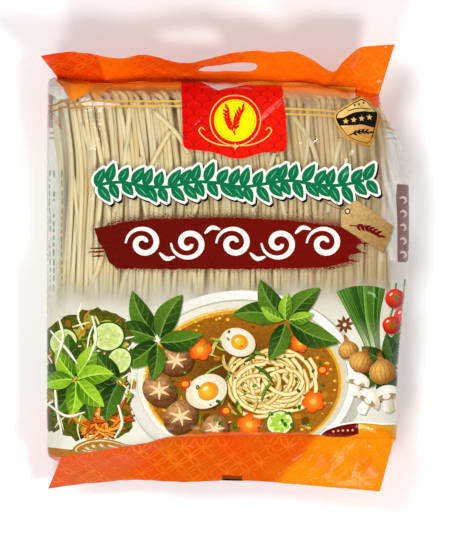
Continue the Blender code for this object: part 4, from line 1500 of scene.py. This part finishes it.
def printed_sheet(name, sheet, art, step, materials, flip=False):
    """A film mesh whose faces take the inks laid over them."""
    outlines = films_of(sheet, [split_outline(outline, OUTLINE_STEP) for outline, *_ in art.shapes])
    places, faces = triangulate(sheet, outlines, films_of(sheet, crease_lines(sheet.creases)), step)
    points = sheet.place(places)
    kinds = ["film"] + sorted({shape[2] for shape in art.shapes})
    centres, corner_plan = places[faces].mean(axis=1), points[faces] / MM
    kind_of, colours, grain = lay_inks(art, kinds, outlines, centres, corner_plan)
    if flip:
        faces, colours = faces[:, ::-1], colours[:, ::-1]
    mesh = new_mesh(name, points.tolist(), faces.tolist(), *(materials[kind] for kind in kinds))
    mesh.polygons.foreach_set("material_index", kind_of)
    set_ink(mesh, "CORNER", colours)
    set_shares(mesh, "grain", "FACE", grain)
    set_map(mesh, "film", places[faces])
    return put_in_scene(name, mesh)


class Graph:
    """A material, with short calls that add a node and join it up."""

    def __init__(self, name):
        self.material = bpy.data.materials.new(name)
        self.material.use_nodes = True
        self.nodes = self.material.node_tree.nodes
        self.nodes.clear()
        self.out = self.nodes.new("ShaderNodeOutputMaterial")

    def join(self, source, socket):
        self.material.node_tree.links.new(source, socket)

    def add(self, kind, inputs=(), **settings):
        """A node with its settings, and inputs by name or number as values or other outputs."""
        node = self.nodes.new("ShaderNode" + kind)
        for key, value in settings.items():
            setattr(node, key, value)
        for key, value in dict(inputs).items():
            if isinstance(value, bpy.types.NodeSocket):
                self.join(value, node.inputs[key])
            else:
                node.inputs[key].default_value = value
        return node

    def math(self, operation, a, b=0.0, c=0.0):
        return self.add("Math", {0: a, 1: b, 2: c}, operation=operation).outputs[0]

    def length(self, a, b):
        """The length of a line with these two parts."""
        return self.math("SQRT", self.math("MULTIPLY_ADD", a, a, self.math("MULTIPLY", b, b)))

    def mix(self, factor, a, b):
        return self.add("Mix", {0: factor, 6: a, 7: b}, data_type="RGBA").outputs[2]

    def noise(self, where, scale, detail=3.0, rough=0.5):
        inputs = {"Vector": where, "Scale": scale, "Detail": detail, "Roughness": rough}
        return self.add("TexNoise", inputs).outputs["Fac"]

    def spread(self, value, low, high, to_low=0.0, to_high=1.0):
        node = self.add("MapRange", {0: value, 1: low, 2: high, 3: to_low, 4: to_high}, clamp=True)
        return node.outputs[0]

    def attribute(self, name):
        return self.add("Attribute", attribute_name=name).outputs

    def stretched(self, where, scale):
        return self.add("Mapping", {"Vector": where, "Scale": scale}).outputs[0]

    def bump(self, height, strength, distance):
        inputs = {"Height": height, "Strength": strength, "Distance": distance}
        return self.add("Bump", inputs).outputs["Normal"]

    def finish(self, shader):
        """Joins the shader to the output, and gives the finished material."""
        self.join(shader, self.out.inputs[0])
        return self.material


def film_bump(graph, where, strength):
    """Fine creases and ripples of thin film."""
    ripple = graph.noise(where, 0.16, 3.0, 0.55)
    crinkle = graph.noise(where, 0.75, 2.0, 0.5)
    return graph.bump(graph.math("MULTIPLY_ADD", crinkle, 0.22, ripple), strength, 0.0008)


def film_places(graph):
    """Millimetre places on the film."""
    return graph.add("UVMap", uv_map="film").outputs[0]


def clear_shader(graph, normal):
    """Thin clear film: see-through, a little milky, and mirror-like at a slant."""
    clear = graph.add("BsdfTransparent", {"Color": (0.975, 0.975, 0.965, 1)}).outputs[0]
    milk = graph.add("BsdfDiffuse", {"Color": (0.80, 0.81, 0.76, 1)}).outputs[0]
    hazy = graph.add("MixShader", {0: FILM_MILK, 1: clear, 2: milk}).outputs[0]
    inputs = {"Color": (1, 1, 1, 1), "Roughness": FILM_ROUGHNESS, "Normal": normal}
    gloss = graph.add("BsdfGlossy", inputs).outputs[0]
    slant = graph.add("LayerWeight", {"Blend": 0.5, "Normal": normal}).outputs["Facing"]
    mirror = graph.math("MULTIPLY_ADD", graph.math("POWER", slant, MIRROR_POWER), MIRROR_RISE, MIRROR_BASE)
    return graph.add("MixShader", {0: mirror, 1: hazy, 2: gloss}).outputs[0]


def ink_shader(graph, colour, normal, roughness=INK_ROUGHNESS):
    """Ink behind glossy film. Its sheen leans to the ink's own colour, as light goes in and out."""
    sheen = graph.mix(INK_SHEEN, colour, (1, 1, 1, 1))
    inputs = {
        "Base Color": colour, "Roughness": roughness, "Normal": normal, "IOR": INK_IOR, "Specular Tint": sheen,
    }
    return graph.add("BsdfPrincipled", inputs).outputs[0]


def grained(graph, where, colour):
    """The ink's colour with the fine unevenness of a printed picture."""
    amount = graph.attribute("grain")["Fac"]
    coarse = graph.noise(where, 0.55, 2.0, 0.5)
    fine = graph.noise(where, 2.1, 3.0, 0.6)
    mixed = graph.math("MULTIPLY_ADD", fine, 0.5, graph.math("MULTIPLY", coarse, 0.5))
    offset = graph.math("SUBTRACT", mixed, 0.5)
    level = graph.math("MULTIPLY_ADD", graph.math("MULTIPLY", offset, amount), 4.0, 1.0)
    return graph.add("VectorMath", {0: colour, "Scale": level}, operation="SCALE").outputs[0]


def lattice_lines(graph, where, radius, breadth):
    """Lines of overlapping circles: 1 on a line and 0 off it."""
    parts = graph.add("SeparateXYZ", {0: where})
    found = None
    for shift in (0.0, radius):
        local = []
        for axis in (0, 1):
            moved = graph.math("ADD", parts.outputs[axis], shift + radius)
            wrapped = graph.math("FLOORED_MODULO", moved, 2 * radius)
            local.append(graph.math("SUBTRACT", wrapped, radius))
        distance = graph.length(*local)
        off = graph.math("ABSOLUTE", graph.math("SUBTRACT", distance, radius - breadth * 0.5))
        line = graph.spread(off, breadth * 0.35, breadth, 1.0, 0.0)
        found = line if found is None else graph.math("MAXIMUM", found, line)
    return found


def fan_scales(graph, where, width, rise, radius):
    """A fan pattern of round scales: how dark its lines are, and how light its scales are."""
    parts = graph.add("SeparateXYZ", {0: where})
    row = graph.math("FLOOR", graph.math("DIVIDE", parts.outputs[1], rise))
    line, light = None, None
    for above in (1, 0, -1):
        index = graph.math("ADD", row, float(above))
        odd = graph.math("FLOORED_MODULO", index, 2.0)
        moved = graph.math("MULTIPLY_ADD", odd, width / 2, parts.outputs[0])
        local_x = graph.math("SUBTRACT", graph.math("FLOORED_MODULO", moved, width), width / 2)
        local_y = graph.math("SUBTRACT", parts.outputs[1], graph.math("MULTIPLY", index, rise))
        distance = graph.length(local_x, local_y)
        held = graph.math("LESS_THAN", distance, radius)
        rim = graph.spread(graph.math("SUBTRACT", radius, distance), 0.30, 0.55, 1.0, 0.0)
        base_y = graph.math("ADD", local_y, rise)
        reach = graph.length(local_x, base_y)
        angle = graph.math("ARCTAN2", graph.math("ABSOLUTE", local_x), base_y)
        spoke = graph.math("PINGPONG", angle, 0.26)
        near = graph.spread(graph.math("MULTIPLY", spoke, reach), 0.16, 0.34, 1.0, 0.0)
        short = graph.spread(reach, 3.6, 4.2, 1.0, 0.0)
        dark = graph.math("MAXIMUM", rim, graph.math("MULTIPLY", near, short))
        glow = graph.spread(distance, radius * 0.3, radius * 0.9, 0.0, 1.0)
        if line is None:
            line, light = graph.math("MULTIPLY", dark, held), graph.math("MULTIPLY", glow, held)
        else:
            keep = graph.math("SUBTRACT", 1.0, held)
            line = graph.math("MULTIPLY_ADD", line, keep, graph.math("MULTIPLY", dark, held))
            light = graph.math("MULTIPLY_ADD", light, keep, graph.math("MULTIPLY", glow, held))
    return line, light


def film_material():
    """Film with no ink on it."""
    graph = Graph("clear_film")
    return graph.finish(clear_shader(graph, film_bump(graph, film_places(graph), FILM_BUMP)))


def thin_ink(graph, where, colour, cover):
    """Ink over clear film, by its cover."""
    normal = film_bump(graph, where, THIN_INK_BUMP)
    clear, ink = clear_shader(graph, normal), ink_shader(graph, colour, normal)
    return graph.finish(graph.add("MixShader", {0: cover, 1: clear, 2: ink}).outputs[0])


def soft_ink_material():
    """Ink laid thinly over clear film."""
    graph = Graph("soft_ink")
    where, ink = film_places(graph), graph.attribute("ink")
    return thin_ink(graph, where, grained(graph, where, ink["Color"]), ink["Alpha"])


def dry_ink_material():
    """Ink in specks, denser where its cover is greater."""
    graph = Graph("dry_ink")
    where, ink = film_places(graph), graph.attribute("ink")
    specks = graph.noise(graph.stretched(where, (0.8, 1.2, 1.0)), 1.25, 1.0, 0.4)
    limit = graph.math("SUBTRACT", 0.66, graph.math("MULTIPLY", ink["Alpha"], 0.34))
    return thin_ink(graph, where, ink["Color"], graph.math("GREATER_THAN", specks, limit))


def fan_pattern(graph, where, colour):
    """The label's fans: darker lines and lighter scales."""
    line, light = fan_scales(graph, where, FAN_WIDTH, FAN_RISE, FAN_RADIUS)
    lit = graph.mix(graph.math("MULTIPLY", light, 0.25), colour, rgba(250, 30, 8))
    return graph.mix(graph.math("MULTIPLY", line, 0.62), lit, rgba(138, 4, 2))


def circle_pattern(graph, where, colour):
    """The overlapping circles of the orange film, faint in some patches."""
    line = lattice_lines(graph, where, CIRCLE_RADIUS, CIRCLE_LINE)
    patch = graph.spread(graph.noise(where, 0.05, 2.0, 0.5), 0.38, 0.66, 0.15, 0.85)
    factor = graph.math("MULTIPLY", line, graph.math("MULTIPLY", patch, 0.34))
    return graph.mix(factor, colour, rgba(255, 160, 44))


def solid_ink_material(name, bump, pattern=None, roughness=INK_ROUGHNESS):
    """Ink that nothing shows through, with any pattern drawn in it."""
    graph = Graph(name)
    where = film_places(graph)
    colour = grained(graph, where, graph.attribute("ink")["Color"])
    if pattern:
        colour = pattern(graph, where, colour)
    return graph.finish(ink_shader(graph, colour, film_bump(graph, where, bump), roughness))


def film_materials():
    """The materials of the film, by the kind of ink on it."""
    return {
        "film": film_material(),
        "soft_ink": soft_ink_material(),
        "dry_ink": dry_ink_material(),
        "ink": solid_ink_material("ink", INK_BUMP),
        "label_ink": solid_ink_material("label_ink", INK_BUMP, fan_pattern),
        "orange_ink": solid_ink_material("orange_ink", ORANGE_BUMP, circle_pattern, ORANGE_ROUGHNESS),
    }


def noodle_material():
    """Dried rice noodle: waxy cream, faint streaks along each strand, a random tone, darker to the right,
    painted shade on inward sides.
    """
    graph = Graph("rice_noodle")
    where = graph.add("TexCoord").outputs["Object"]
    tone, inner = graph.attribute("tone")["Fac"], graph.attribute("inner")["Fac"]
    streak = graph.noise(graph.stretched(where, (1.0, 0.06, 1.0)), 1900.0, 3.0, 0.6)
    cloud = graph.noise(where, 70.0, 3.0, 0.5)
    base = graph.mix(tone, rgba(245, 231, 182), rgba(206, 176, 116))
    warm = graph.mix(graph.spread(cloud, 0.35, 0.7, 0.0, 0.45), base, rgba(249, 239, 200))
    lined = graph.mix(graph.spread(streak, 0.45, 0.75, 0.0, 0.30), warm, rgba(216, 190, 126))
    # Painted shade: each strand's side that faces into the bundle turns warmer and darker.
    final = graph.mix(graph.spread(inner, 0.20, 0.60, 0.0, 0.88), lined, rgba(226, 180, 100))
    inputs = {
        "Base Color": final, "Roughness": 0.42, "IOR": 1.45, "Normal": graph.bump(streak, 0.25, 0.0002),
        "Subsurface Weight": 0.40, "Subsurface Radius": (1.0, 0.75, 0.42), "Subsurface Scale": 0.0022,
    }
    return graph.finish(graph.add("BsdfPrincipled", inputs).outputs[0])


def core_material():
    """The middle of the block, between the strands, in browns darker than the strands: painted shade of the
    deep bundle.
    """
    graph = Graph("noodle_core")
    where = graph.add("TexCoord").outputs["Object"]
    streak = graph.noise(graph.stretched(where, (1.0, 0.05, 1.0)), 420.0, 3.0, 0.6)
    # Painted shade: the core's browns stand for the dim inside of the bundle.
    colour = graph.mix(graph.spread(streak, 0.35, 0.7), rgba(196, 146, 68), rgba(226, 184, 106))
    inputs = {"Base Color": colour, "Roughness": 0.6, "Normal": graph.bump(streak, 0.8, 0.001)}
    return graph.finish(graph.add("BsdfPrincipled", inputs).outputs[0])


# Noodles, in metres.
STRAND_RADIUS = 0.00140
STRAND_SIDES = 7
STRAND_PITCH = 0.00282
BLOCK_HALF_WIDTH = 0.0868
BLOCK_SIDE_POWER = 4.4
BLOCK_FACE_POWER = 2.4
BLOCK_FRONT_Z = 0.0424
BLOCK_BACK_Z = 0.0022
BLOCK_LOW_Y = -0.0820
BLOCK_HIGH_Y = 0.0886
BLOCK_MIDDLE_Z = (BLOCK_FRONT_Z + BLOCK_BACK_Z) / 2
BLOCK_HALF_Z = (BLOCK_FRONT_Z - BLOCK_BACK_Z) / 2
LAYER_GAP = 0.0024
LAYER_DROP = 0.0016
LAYERS = 3
LOOP_SHIFT = 0.0070
LOOP_REACH = (0.0052, 0.0078)
LOOP_FALL = 42.0
TOP_LEAN = 0.0042
TOP_LIMIT = 0.0950
SHOULDER_DROP = 0.0013
SIDE_LIMIT = 0.0925
STRAY_LIFT = 0.0008
FRONT_POINTS = 24
LOOP_POINTS = 13
BACK_POINTS = 12
STRAY_POINTS = 18

# Rows of the plain core, as y in metres and the share of its section.
CORE_ROWS = (
    (-0.080, 0.94), (-0.076, 1.0), (-0.03, 1.0), (0.03, 1.0), (0.074, 1.0), (0.081, 0.94), (0.084, 0.8),
)

# Loose strands across the front of the block, as start x y, end x y and bow, in millimetres.
STRAYS = (
    (-73.0, 84.0, -62.0, 12.0, 2.0),
    (-52.0, 88.0, -60.0, 30.0, 1.5),
    (-46.0, 60.0, -38.0, 8.0, -2.0),
    (-84.0, 58.0, -79.0, 4.0, 1.0),
    (44.0, 86.0, 39.0, 40.0, 2.0),
    (-14.0, 50.0, -20.0, 22.0, 1.5),
    (28.0, 60.0, 34.0, 20.0, -1.5),
    (-38.5, 84.0, -20.5, 62.0, 2.5),
    (-78.0, 78.0, -70.0, 40.0, 1.5),
    (-58.0, -20.0, -46.0, 18.0, -1.5),
    (-30.0, 74.0, -45.0, 44.0, -1.0),
    (-66.0, 10.0, -78.0, -20.0, 1.0),
    (36.0, 82.0, 50.0, 52.0, 3.0),
    (62.0, 70.0, 55.0, 30.0, -1.0),
    (14.0, 30.0, 26.0, 62.0, 1.0),
)


def block_ring(layer, count=2001):
    """Half of the block's section from one side to the other over the front, by length."""
    inset = layer * LAYER_GAP
    half_x, half_z = BLOCK_HALF_WIDTH - inset, BLOCK_HALF_Z - inset
    angles = np.linspace(math.pi, 0, count)
    cosine, sine = np.cos(angles), np.clip(np.sin(angles), 0, 1)
    x = half_x * np.sign(cosine) * np.abs(cosine) ** (2 / BLOCK_SIDE_POWER)
    z = half_z * sine ** (2 / BLOCK_FACE_POWER)
    length = np.concatenate([[0.0], np.cumsum(np.hypot(np.diff(x), np.diff(z)))])
    return x, z, length


def block_face(x, z):
    """The block's outward direction at a place on its section."""
    across = np.sign(x) * abs(x / BLOCK_HALF_WIDTH) ** (BLOCK_SIDE_POWER - 1) / BLOCK_HALF_WIDTH
    up = abs(z / BLOCK_HALF_Z) ** (BLOCK_FACE_POWER - 1) / BLOCK_HALF_Z
    return unit(np.array([across, up]))


def sway(draw, ys, low, high):
    """A slow wave along a strand, from -1 to 1."""
    return np.sin(ys * draw.uniform(low, high) + draw.uniform(0, 6.3))


def front_run(draw, x0, z0, layer):
    """A strand up the front, leaning to the left near the top."""
    high = BLOCK_HIGH_Y + draw.uniform(-0.0032, 0.0018) - LAYER_DROP * layer
    drop = abs(x0 / BLOCK_HALF_WIDTH) ** 6 * 0.004
    low = BLOCK_LOW_Y + draw.uniform(0, 0.003)
    ys = np.linspace(low, high - drop, FRONT_POINTS)
    lean = TOP_LEAN * np.clip((ys - 0.045) / 0.04, 0, 1.3) ** 1.3
    spread = 1 + 0.05 * np.clip((0.064 - ys) / 0.076, 0, 1.4) * (x0 < 0)
    wander = draw.uniform(0.0004, 0.0019) * sway(draw, ys, 20, 52)
    slant = draw.normal(0, 0.0021) * (ys / 0.08)
    depth = 0.0009 * sway(draw, ys, 20, 50) - draw.uniform(0, 0.0012)
    x = np.clip(x0 * spread + wander + slant - lean, -SIDE_LIMIT, SIDE_LIMIT)
    z = BLOCK_MIDDLE_Z + z0 + np.minimum(depth, 0.0003)
    return np.stack([x, ys, np.broadcast_to(z, ys.shape)], axis=-1)


def loop_run(draw, x0, z0, layer, turns, start):
    """The strand's loop over the top from a start point, shifting to the left as it goes."""
    shift = LOOP_SHIFT * draw.uniform(0.6, 1.25)
    reach = draw.uniform(*LOOP_REACH) - 0.0009 * layer
    reach = min(reach, TOP_LIMIT - SHOULDER_DROP * smooth_step(x0, 0.030, 0.050) - start[1])
    sink = ((1 - np.cos(turns)) / 2) ** 1.8
    shift = np.clip(shift, 0, SIDE_LIMIT + start[0])
    y = start[1] + reach * np.sin(turns) ** 0.9
    z = BLOCK_MIDDLE_Z + z0 * np.minimum(1 - 2 * sink, 1 - LOOP_FALL * (y - start[1]))
    return np.stack([start[0] - shift * smooth_step(turns, 0.15, 2.3), y, z], axis=-1)


def back_run(draw, z0, x_top, y_top, y_low):
    """The strand down the back."""
    ys = np.linspace(y_top, y_low, BACK_POINTS)
    x = x_top + 0.5 * draw.uniform(0.0004, 0.0013) * np.sin(ys * 40 + draw.uniform(0, 6.3))
    x = np.clip(x, -BLOCK_HALF_WIDTH, BLOCK_HALF_WIDTH)
    return np.stack([x, ys, np.full_like(ys, BLOCK_MIDDLE_Z - z0)], axis=-1)


def outward_of(face, turns):
    """The block's outward direction at every point of a strand that starts facing face."""
    across, up = face
    loop = np.stack([np.full_like(turns, across), np.sin(turns), up * np.cos(turns)], axis=-1)
    front = np.broadcast_to((across, 0, up), (FRONT_POINTS, 3))
    back = np.broadcast_to((across, 0, -up), (BACK_POINTS, 3))
    return np.vstack([front, unit(loop), back])


def strand_paths():
    """Every strand as up the front, over the top with a lean to the left, and down the back."""
    draw = np.random.default_rng(77)
    turns = np.linspace(0, math.pi, LOOP_POINTS)[1:-1]
    paths, faced, tones = [], [], []
    for layer in range(LAYERS):
        xs, zs, length = block_ring(layer)
        count = int(length[-1] / STRAND_PITCH)
        for k in range(count):
            at = (k + 0.5 + draw.uniform(-0.30, 0.30)) / count * length[-1]
            x0, z0 = np.interp(at, length, xs), np.interp(at, length, zs)
            front = front_run(draw, x0, z0, layer)
            loop = loop_run(draw, x0, z0, layer, turns, front[-1])
            back = back_run(draw, z0, loop[-1, 0], front[-1, 1], front[0, 1])
            path = np.vstack([front, loop, back])
            path[:, 2] = np.maximum(path[:, 2], BLOCK_MIDDLE_Z - np.interp(path[:, 0], xs, zs))
            paths.append(path)
            faced.append(outward_of(block_face(x0, z0), turns))
            # Each strand's tone differs at random and is darker towards the right of the pack.
            tones.append(np.clip(draw.normal(0.30, 0.20) + 0.42 * smooth_step(x0, -0.04, 0.06), 0, 1))
    outer_x, outer_z, _ = block_ring(0)
    t = np.linspace(0, 1, STRAY_POINTS)
    for x0, y0, x1, y1, bow in STRAYS:
        x = (x0 + (x1 - x0) * t + bow * np.sin(math.pi * t)) * MM
        y = (y0 + (y1 - y0) * t) * MM
        z = BLOCK_MIDDLE_Z + np.interp(x, outer_x, outer_z) + STRAY_LIFT
        paths.append(np.stack([x, y, z], axis=-1))
        faced.append(np.broadcast_to((0, 0, 1), (len(t), 3)))
        tones.append(0.2)
    return paths, faced, tones


def strip_places(count, left, low, width):
    """Bake places of one strand: its sides unrolled as an upright strip, with its two ends beyond it."""
    rows, sides = np.meshgrid(np.arange(count - 1), np.arange(STRAND_SIDES), indexing="ij")
    corners = np.stack([
        np.stack([sides, rows], axis=-1), np.stack([sides + 1, rows], axis=-1),
        np.stack([sides + 1, rows + 1], axis=-1), np.stack([sides, rows + 1], axis=-1),
    ], axis=2).reshape(-1, 2) / (STRAND_SIDES, count - 1)
    strip = (left, low) + (corners * STRIP_SIZE + STRIP_MARGIN) * (width, 0.5)
    turns = np.arange(STRAND_SIDES) / STRAND_SIDES * 2 * math.pi
    cap = np.stack([0.5 + 0.4 * np.cos(turns), 0.01 * np.sin(turns)], axis=-1)
    ends = [(left, low) + (cap + (0, at)) * (width, 0.5) for at in STRIP_ENDS]
    return np.vstack([strip, *ends])


def tube_mesh(name, paths, faced, tones, material):
    """Round strands along the paths, closed at their ends, as one mesh."""
    draw = np.random.default_rng(88)
    angles = np.arange(STRAND_SIDES) / STRAND_SIDES * 2 * math.pi
    points, faces, shade, inner, places = [], [], [], [], []
    start = 0
    columns = (len(paths) + 1) // 2
    for number, (path, face, tone) in enumerate(zip(paths, faced, tones)):
        along = unit(np.gradient(path, axis=0))
        aside = unit(np.cross(along, [1.0, 0.0, 0.0]))
        other = np.cross(along, aside)
        round_a = STRAND_RADIUS * draw.uniform(0.90, 1.06)
        round_b = STRAND_RADIUS * draw.uniform(0.90, 1.06)
        ring = (path[:, None] + aside[:, None] * (round_a * np.cos(angles))[None, :, None]
                + other[:, None] * (round_b * np.sin(angles))[None, :, None])
        count = len(path)
        # How far each point faces into the bundle; the noodle's material darkens it there as painted shade.
        outward = (unit(ring - path[:, None]) * face[:, None]).sum(axis=-1)
        inner.append((0.5 - 0.5 * outward).ravel())
        points.append(ring.reshape(-1, 3))
        index = start + np.arange(count * STRAND_SIDES).reshape(count, STRAND_SIDES)
        after = np.roll(index, -1, axis=1)
        quads = np.stack([index[:-1], after[:-1], after[1:], index[1:]], axis=-1).reshape(-1, 4)
        faces += quads.tolist()
        faces.append(index[0][::-1].tolist())
        faces.append(index[-1].tolist())
        shade.append(np.full(count * STRAND_SIDES, tone))
        places.append(strip_places(count, number % columns / columns, number // columns / 2, 1 / columns))
        start += count * STRAND_SIDES
    mesh = new_mesh(name, np.vstack(points).tolist(), faces, material)
    set_shares(mesh, "tone", "POINT", np.concatenate(shade))
    set_shares(mesh, "inner", "POINT", np.concatenate(inner))
    set_map(mesh, "OFBake", np.vstack(places))
    return put_in_scene(name, mesh)


def core_mesh(name, material):
    """A rounded block that fills the middle of the bundle."""
    xs, zs, length = block_ring(LAYERS - 1, 61)
    stops = np.linspace(0, length[-1], 41)
    x, z = np.interp(stops, length, xs) * 0.985, np.interp(stops, length, zs) * 0.93
    ring = np.vstack([np.stack([x, z], axis=-1), np.stack([x, -z], axis=-1)[-2:0:-1]])
    count = len(ring)
    rows = []
    for y, size in CORE_ROWS:
        scaled = ring * size
        rows.append(np.stack([scaled[:, 0], np.full(count, y), BLOCK_MIDDLE_Z + scaled[:, 1]], axis=-1))
    index = np.arange(len(rows) * count).reshape(len(rows), count)
    after = np.roll(index, -1, axis=1)
    sides = np.stack([index[:-1], after[:-1], after[1:], index[1:]], axis=-1).reshape(-1, 4)
    faces = sides.tolist() + [index[0][::-1].tolist(), index[-1].tolist()]
    return put_in_scene(name, new_mesh(name, np.vstack(rows).tolist(), faces, material))


def tuck_mesh(name, material):
    """Orange film folded in behind the tops of the loops, in light golden tones that are painted light shining
    through it.
    """
    across, rows = 90, 9
    x, t = np.meshgrid(np.linspace(-84, 70, across), np.linspace(0, 1, rows))
    y = 87.5 + 12.5 * t + 0.8 * SLOW_WAVES(x * 1.4, 12 * t) - 3.2 * smooth_step(x, 40, 66)
    z = 22.0 + 7.0 * t + 0.9 * QUICK_WAVES(x, 9 * t)
    # Painted light: golden tones, lighter than the print's orange, in random patches.
    tone = np.clip(0.5 + 0.4 * QUICK_WAVES(x * 0.8, y * 1.5), 0, 1)[..., None]
    colour = rgb(232, 128, 26) * (1 - tone) + rgb(252, 180, 60) * tone
    cover = smooth_step(t, 0.02, 0.3)[..., None]
    index = np.arange(across * rows).reshape(rows, across)
    faces = np.stack([index[:-1, :-1], index[:-1, 1:], index[1:, 1:], index[1:, :-1]], axis=-1).reshape(-1, 4)
    points = np.stack([x * MM, y * MM, z * MM], axis=-1).reshape(-1, 3)
    mesh = new_mesh(name, points.tolist(), faces.tolist(), material)
    set_ink(mesh, "POINT", np.concatenate([colour, cover], axis=-1))
    set_shares(mesh, "grain", "FACE", np.full(len(faces), 0.3))
    set_map(mesh, "film", np.stack([x, y], axis=-1).reshape(-1, 2)[faces.ravel()])
    return put_in_scene(name, mesh)


def bake_map(piece, low, high, part):
    """A map named for the bake: film places from low to high fitted into a part of the image."""
    mesh = piece.data
    film = np.zeros(len(mesh.loops) * 2)
    mesh.uv_layers["film"].uv.foreach_get("vector", film)
    share = (film.reshape(-1, 2) - low) / (np.array(high) - low)
    set_map(mesh, "OFBake", np.array(part[:2]) + share * (np.array(part[2:]) - part[:2]))


def make_camera():
    """Straight down, framed as the photo."""
    camera = bpy.data.cameras.new("camera")
    camera.sensor_width = SENSOR
    camera.lens = SENSOR / VIEW_LONG_SIDE * VIEW_DISTANCE
    camera.clip_end = 20
    eye = put_in_scene("camera", camera)
    eye.location = (*VIEW_CENTRE, VIEW_FOCUS_Z + VIEW_DISTANCE)
    bpy.context.scene.camera = eye


def make_light(name, place, size, power):
    """A soft square light that faces the pack."""
    light = bpy.data.lights.new(name, "AREA")
    light.shape = "RECTANGLE"
    light.size = light.size_y = size
    light.energy = power
    lamp = put_in_scene(name, light)
    lamp.location = place
    aim = Vector((0, 0, LAMP_AIM_Z)) - Vector(place)
    lamp.rotation_euler = aim.to_track_quat("-Z", "Y").to_euler()


def make_studio():
    """A pale floor, a dim even sky and soft lamps low enough to keep the print's colours clean."""
    bpy.context.scene.view_settings.view_transform = "Standard"
    world = bpy.data.worlds.new("studio")
    world.use_nodes = True
    sky = world.node_tree.nodes["Background"].inputs
    sky["Color"].default_value = SKY_COLOUR
    sky["Strength"].default_value = SKY_STRENGTH
    bpy.context.scene.world = world
    for lamp in LAMPS:
        make_light(*lamp)
    graph = Graph("pale_floor")
    grain = graph.noise(graph.add("TexCoord").outputs["Object"], 30.0)
    colour = graph.mix(grain, (0.95, 0.95, 0.95, 1), (0.97, 0.97, 0.97, 1))
    shader = graph.add("BsdfPrincipled", {"Base Color": colour, "Roughness": 0.8})
    material = graph.finish(shader.outputs[0])
    corners = [(x, y, 0) for x, y in box(-FLOOR_HALF, -FLOOR_HALF, FLOOR_HALF, FLOOR_HALF)]
    floor = put_in_scene("floor", new_mesh("floor", corners, [(0, 1, 2, 3)], material))


def build_film(materials):
    """The film bag: front and back of the body, and both faces of each fin."""
    pieces = []
    front = (1, "film_front", front_print(), FRONT_STEP)
    back = (-1, "film_back", back_print(), BACK_STEP)
    for way, name, art, step in (front, back):
        sheet = BodySheet(way)
        piece = printed_sheet(name, sheet, art, step, materials, flip=way < 0)
        bake_map(piece, sheet.edge[0], sheet.edge[2], WHOLE_IMAGE)
        pieces.append(piece)
    piece = tuck_mesh("film_tuck", materials["soft_ink"])
    bake_map(piece, (-86, 80), (72, 106), TUCK_IMAGE)
    pieces.append(piece)
    header = (HEADER_ROOT, HEADER_EDGE, HEADER_LENGTH, HEAD_BOW, HEAD_END[0], 1)
    foot = (FOOT_ROOT, FOOT_EDGE, FOOT_LENGTH, FOOT_BOW, FOOT_END[0], -1)
    for name, values in (("header", header), ("foot_fin", foot)):
        way = values[-1]
        faces = []
        for side, half_image in ((1, TOP_OF_IMAGE), (-1, FOOT_OF_IMAGE)):
            sheet = FinSheet(*values, side)
            if name == "header":
                sheet.holes = [sheet.film_of(split_outline(np.array(SLOT_OUTLINE), 1.2))]
            face = printed_sheet(name, sheet, fin_print(way), FIN_STEP, materials, flip=side * way < 0)
            bake_map(face, sheet.edge[0], sheet.edge[2], half_image)
            faces.append(face)
        with bpy.context.temp_override(active_object=faces[0], selected_editable_objects=faces):
            bpy.ops.object.join()
        pieces.append(faces[0])
    return pieces


def main():
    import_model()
    make_camera()
    make_studio()
    for piece in build_film(film_materials()):
        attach(piece, "root")
        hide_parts("noodle_pack")
    strands = tube_mesh("noodle_strands", *strand_paths(), noodle_material())
    core = core_mesh("noodle_core", core_material())
    for piece in (strands, core):
        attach(piece, "root")
        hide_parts("noodle_pack")


main()
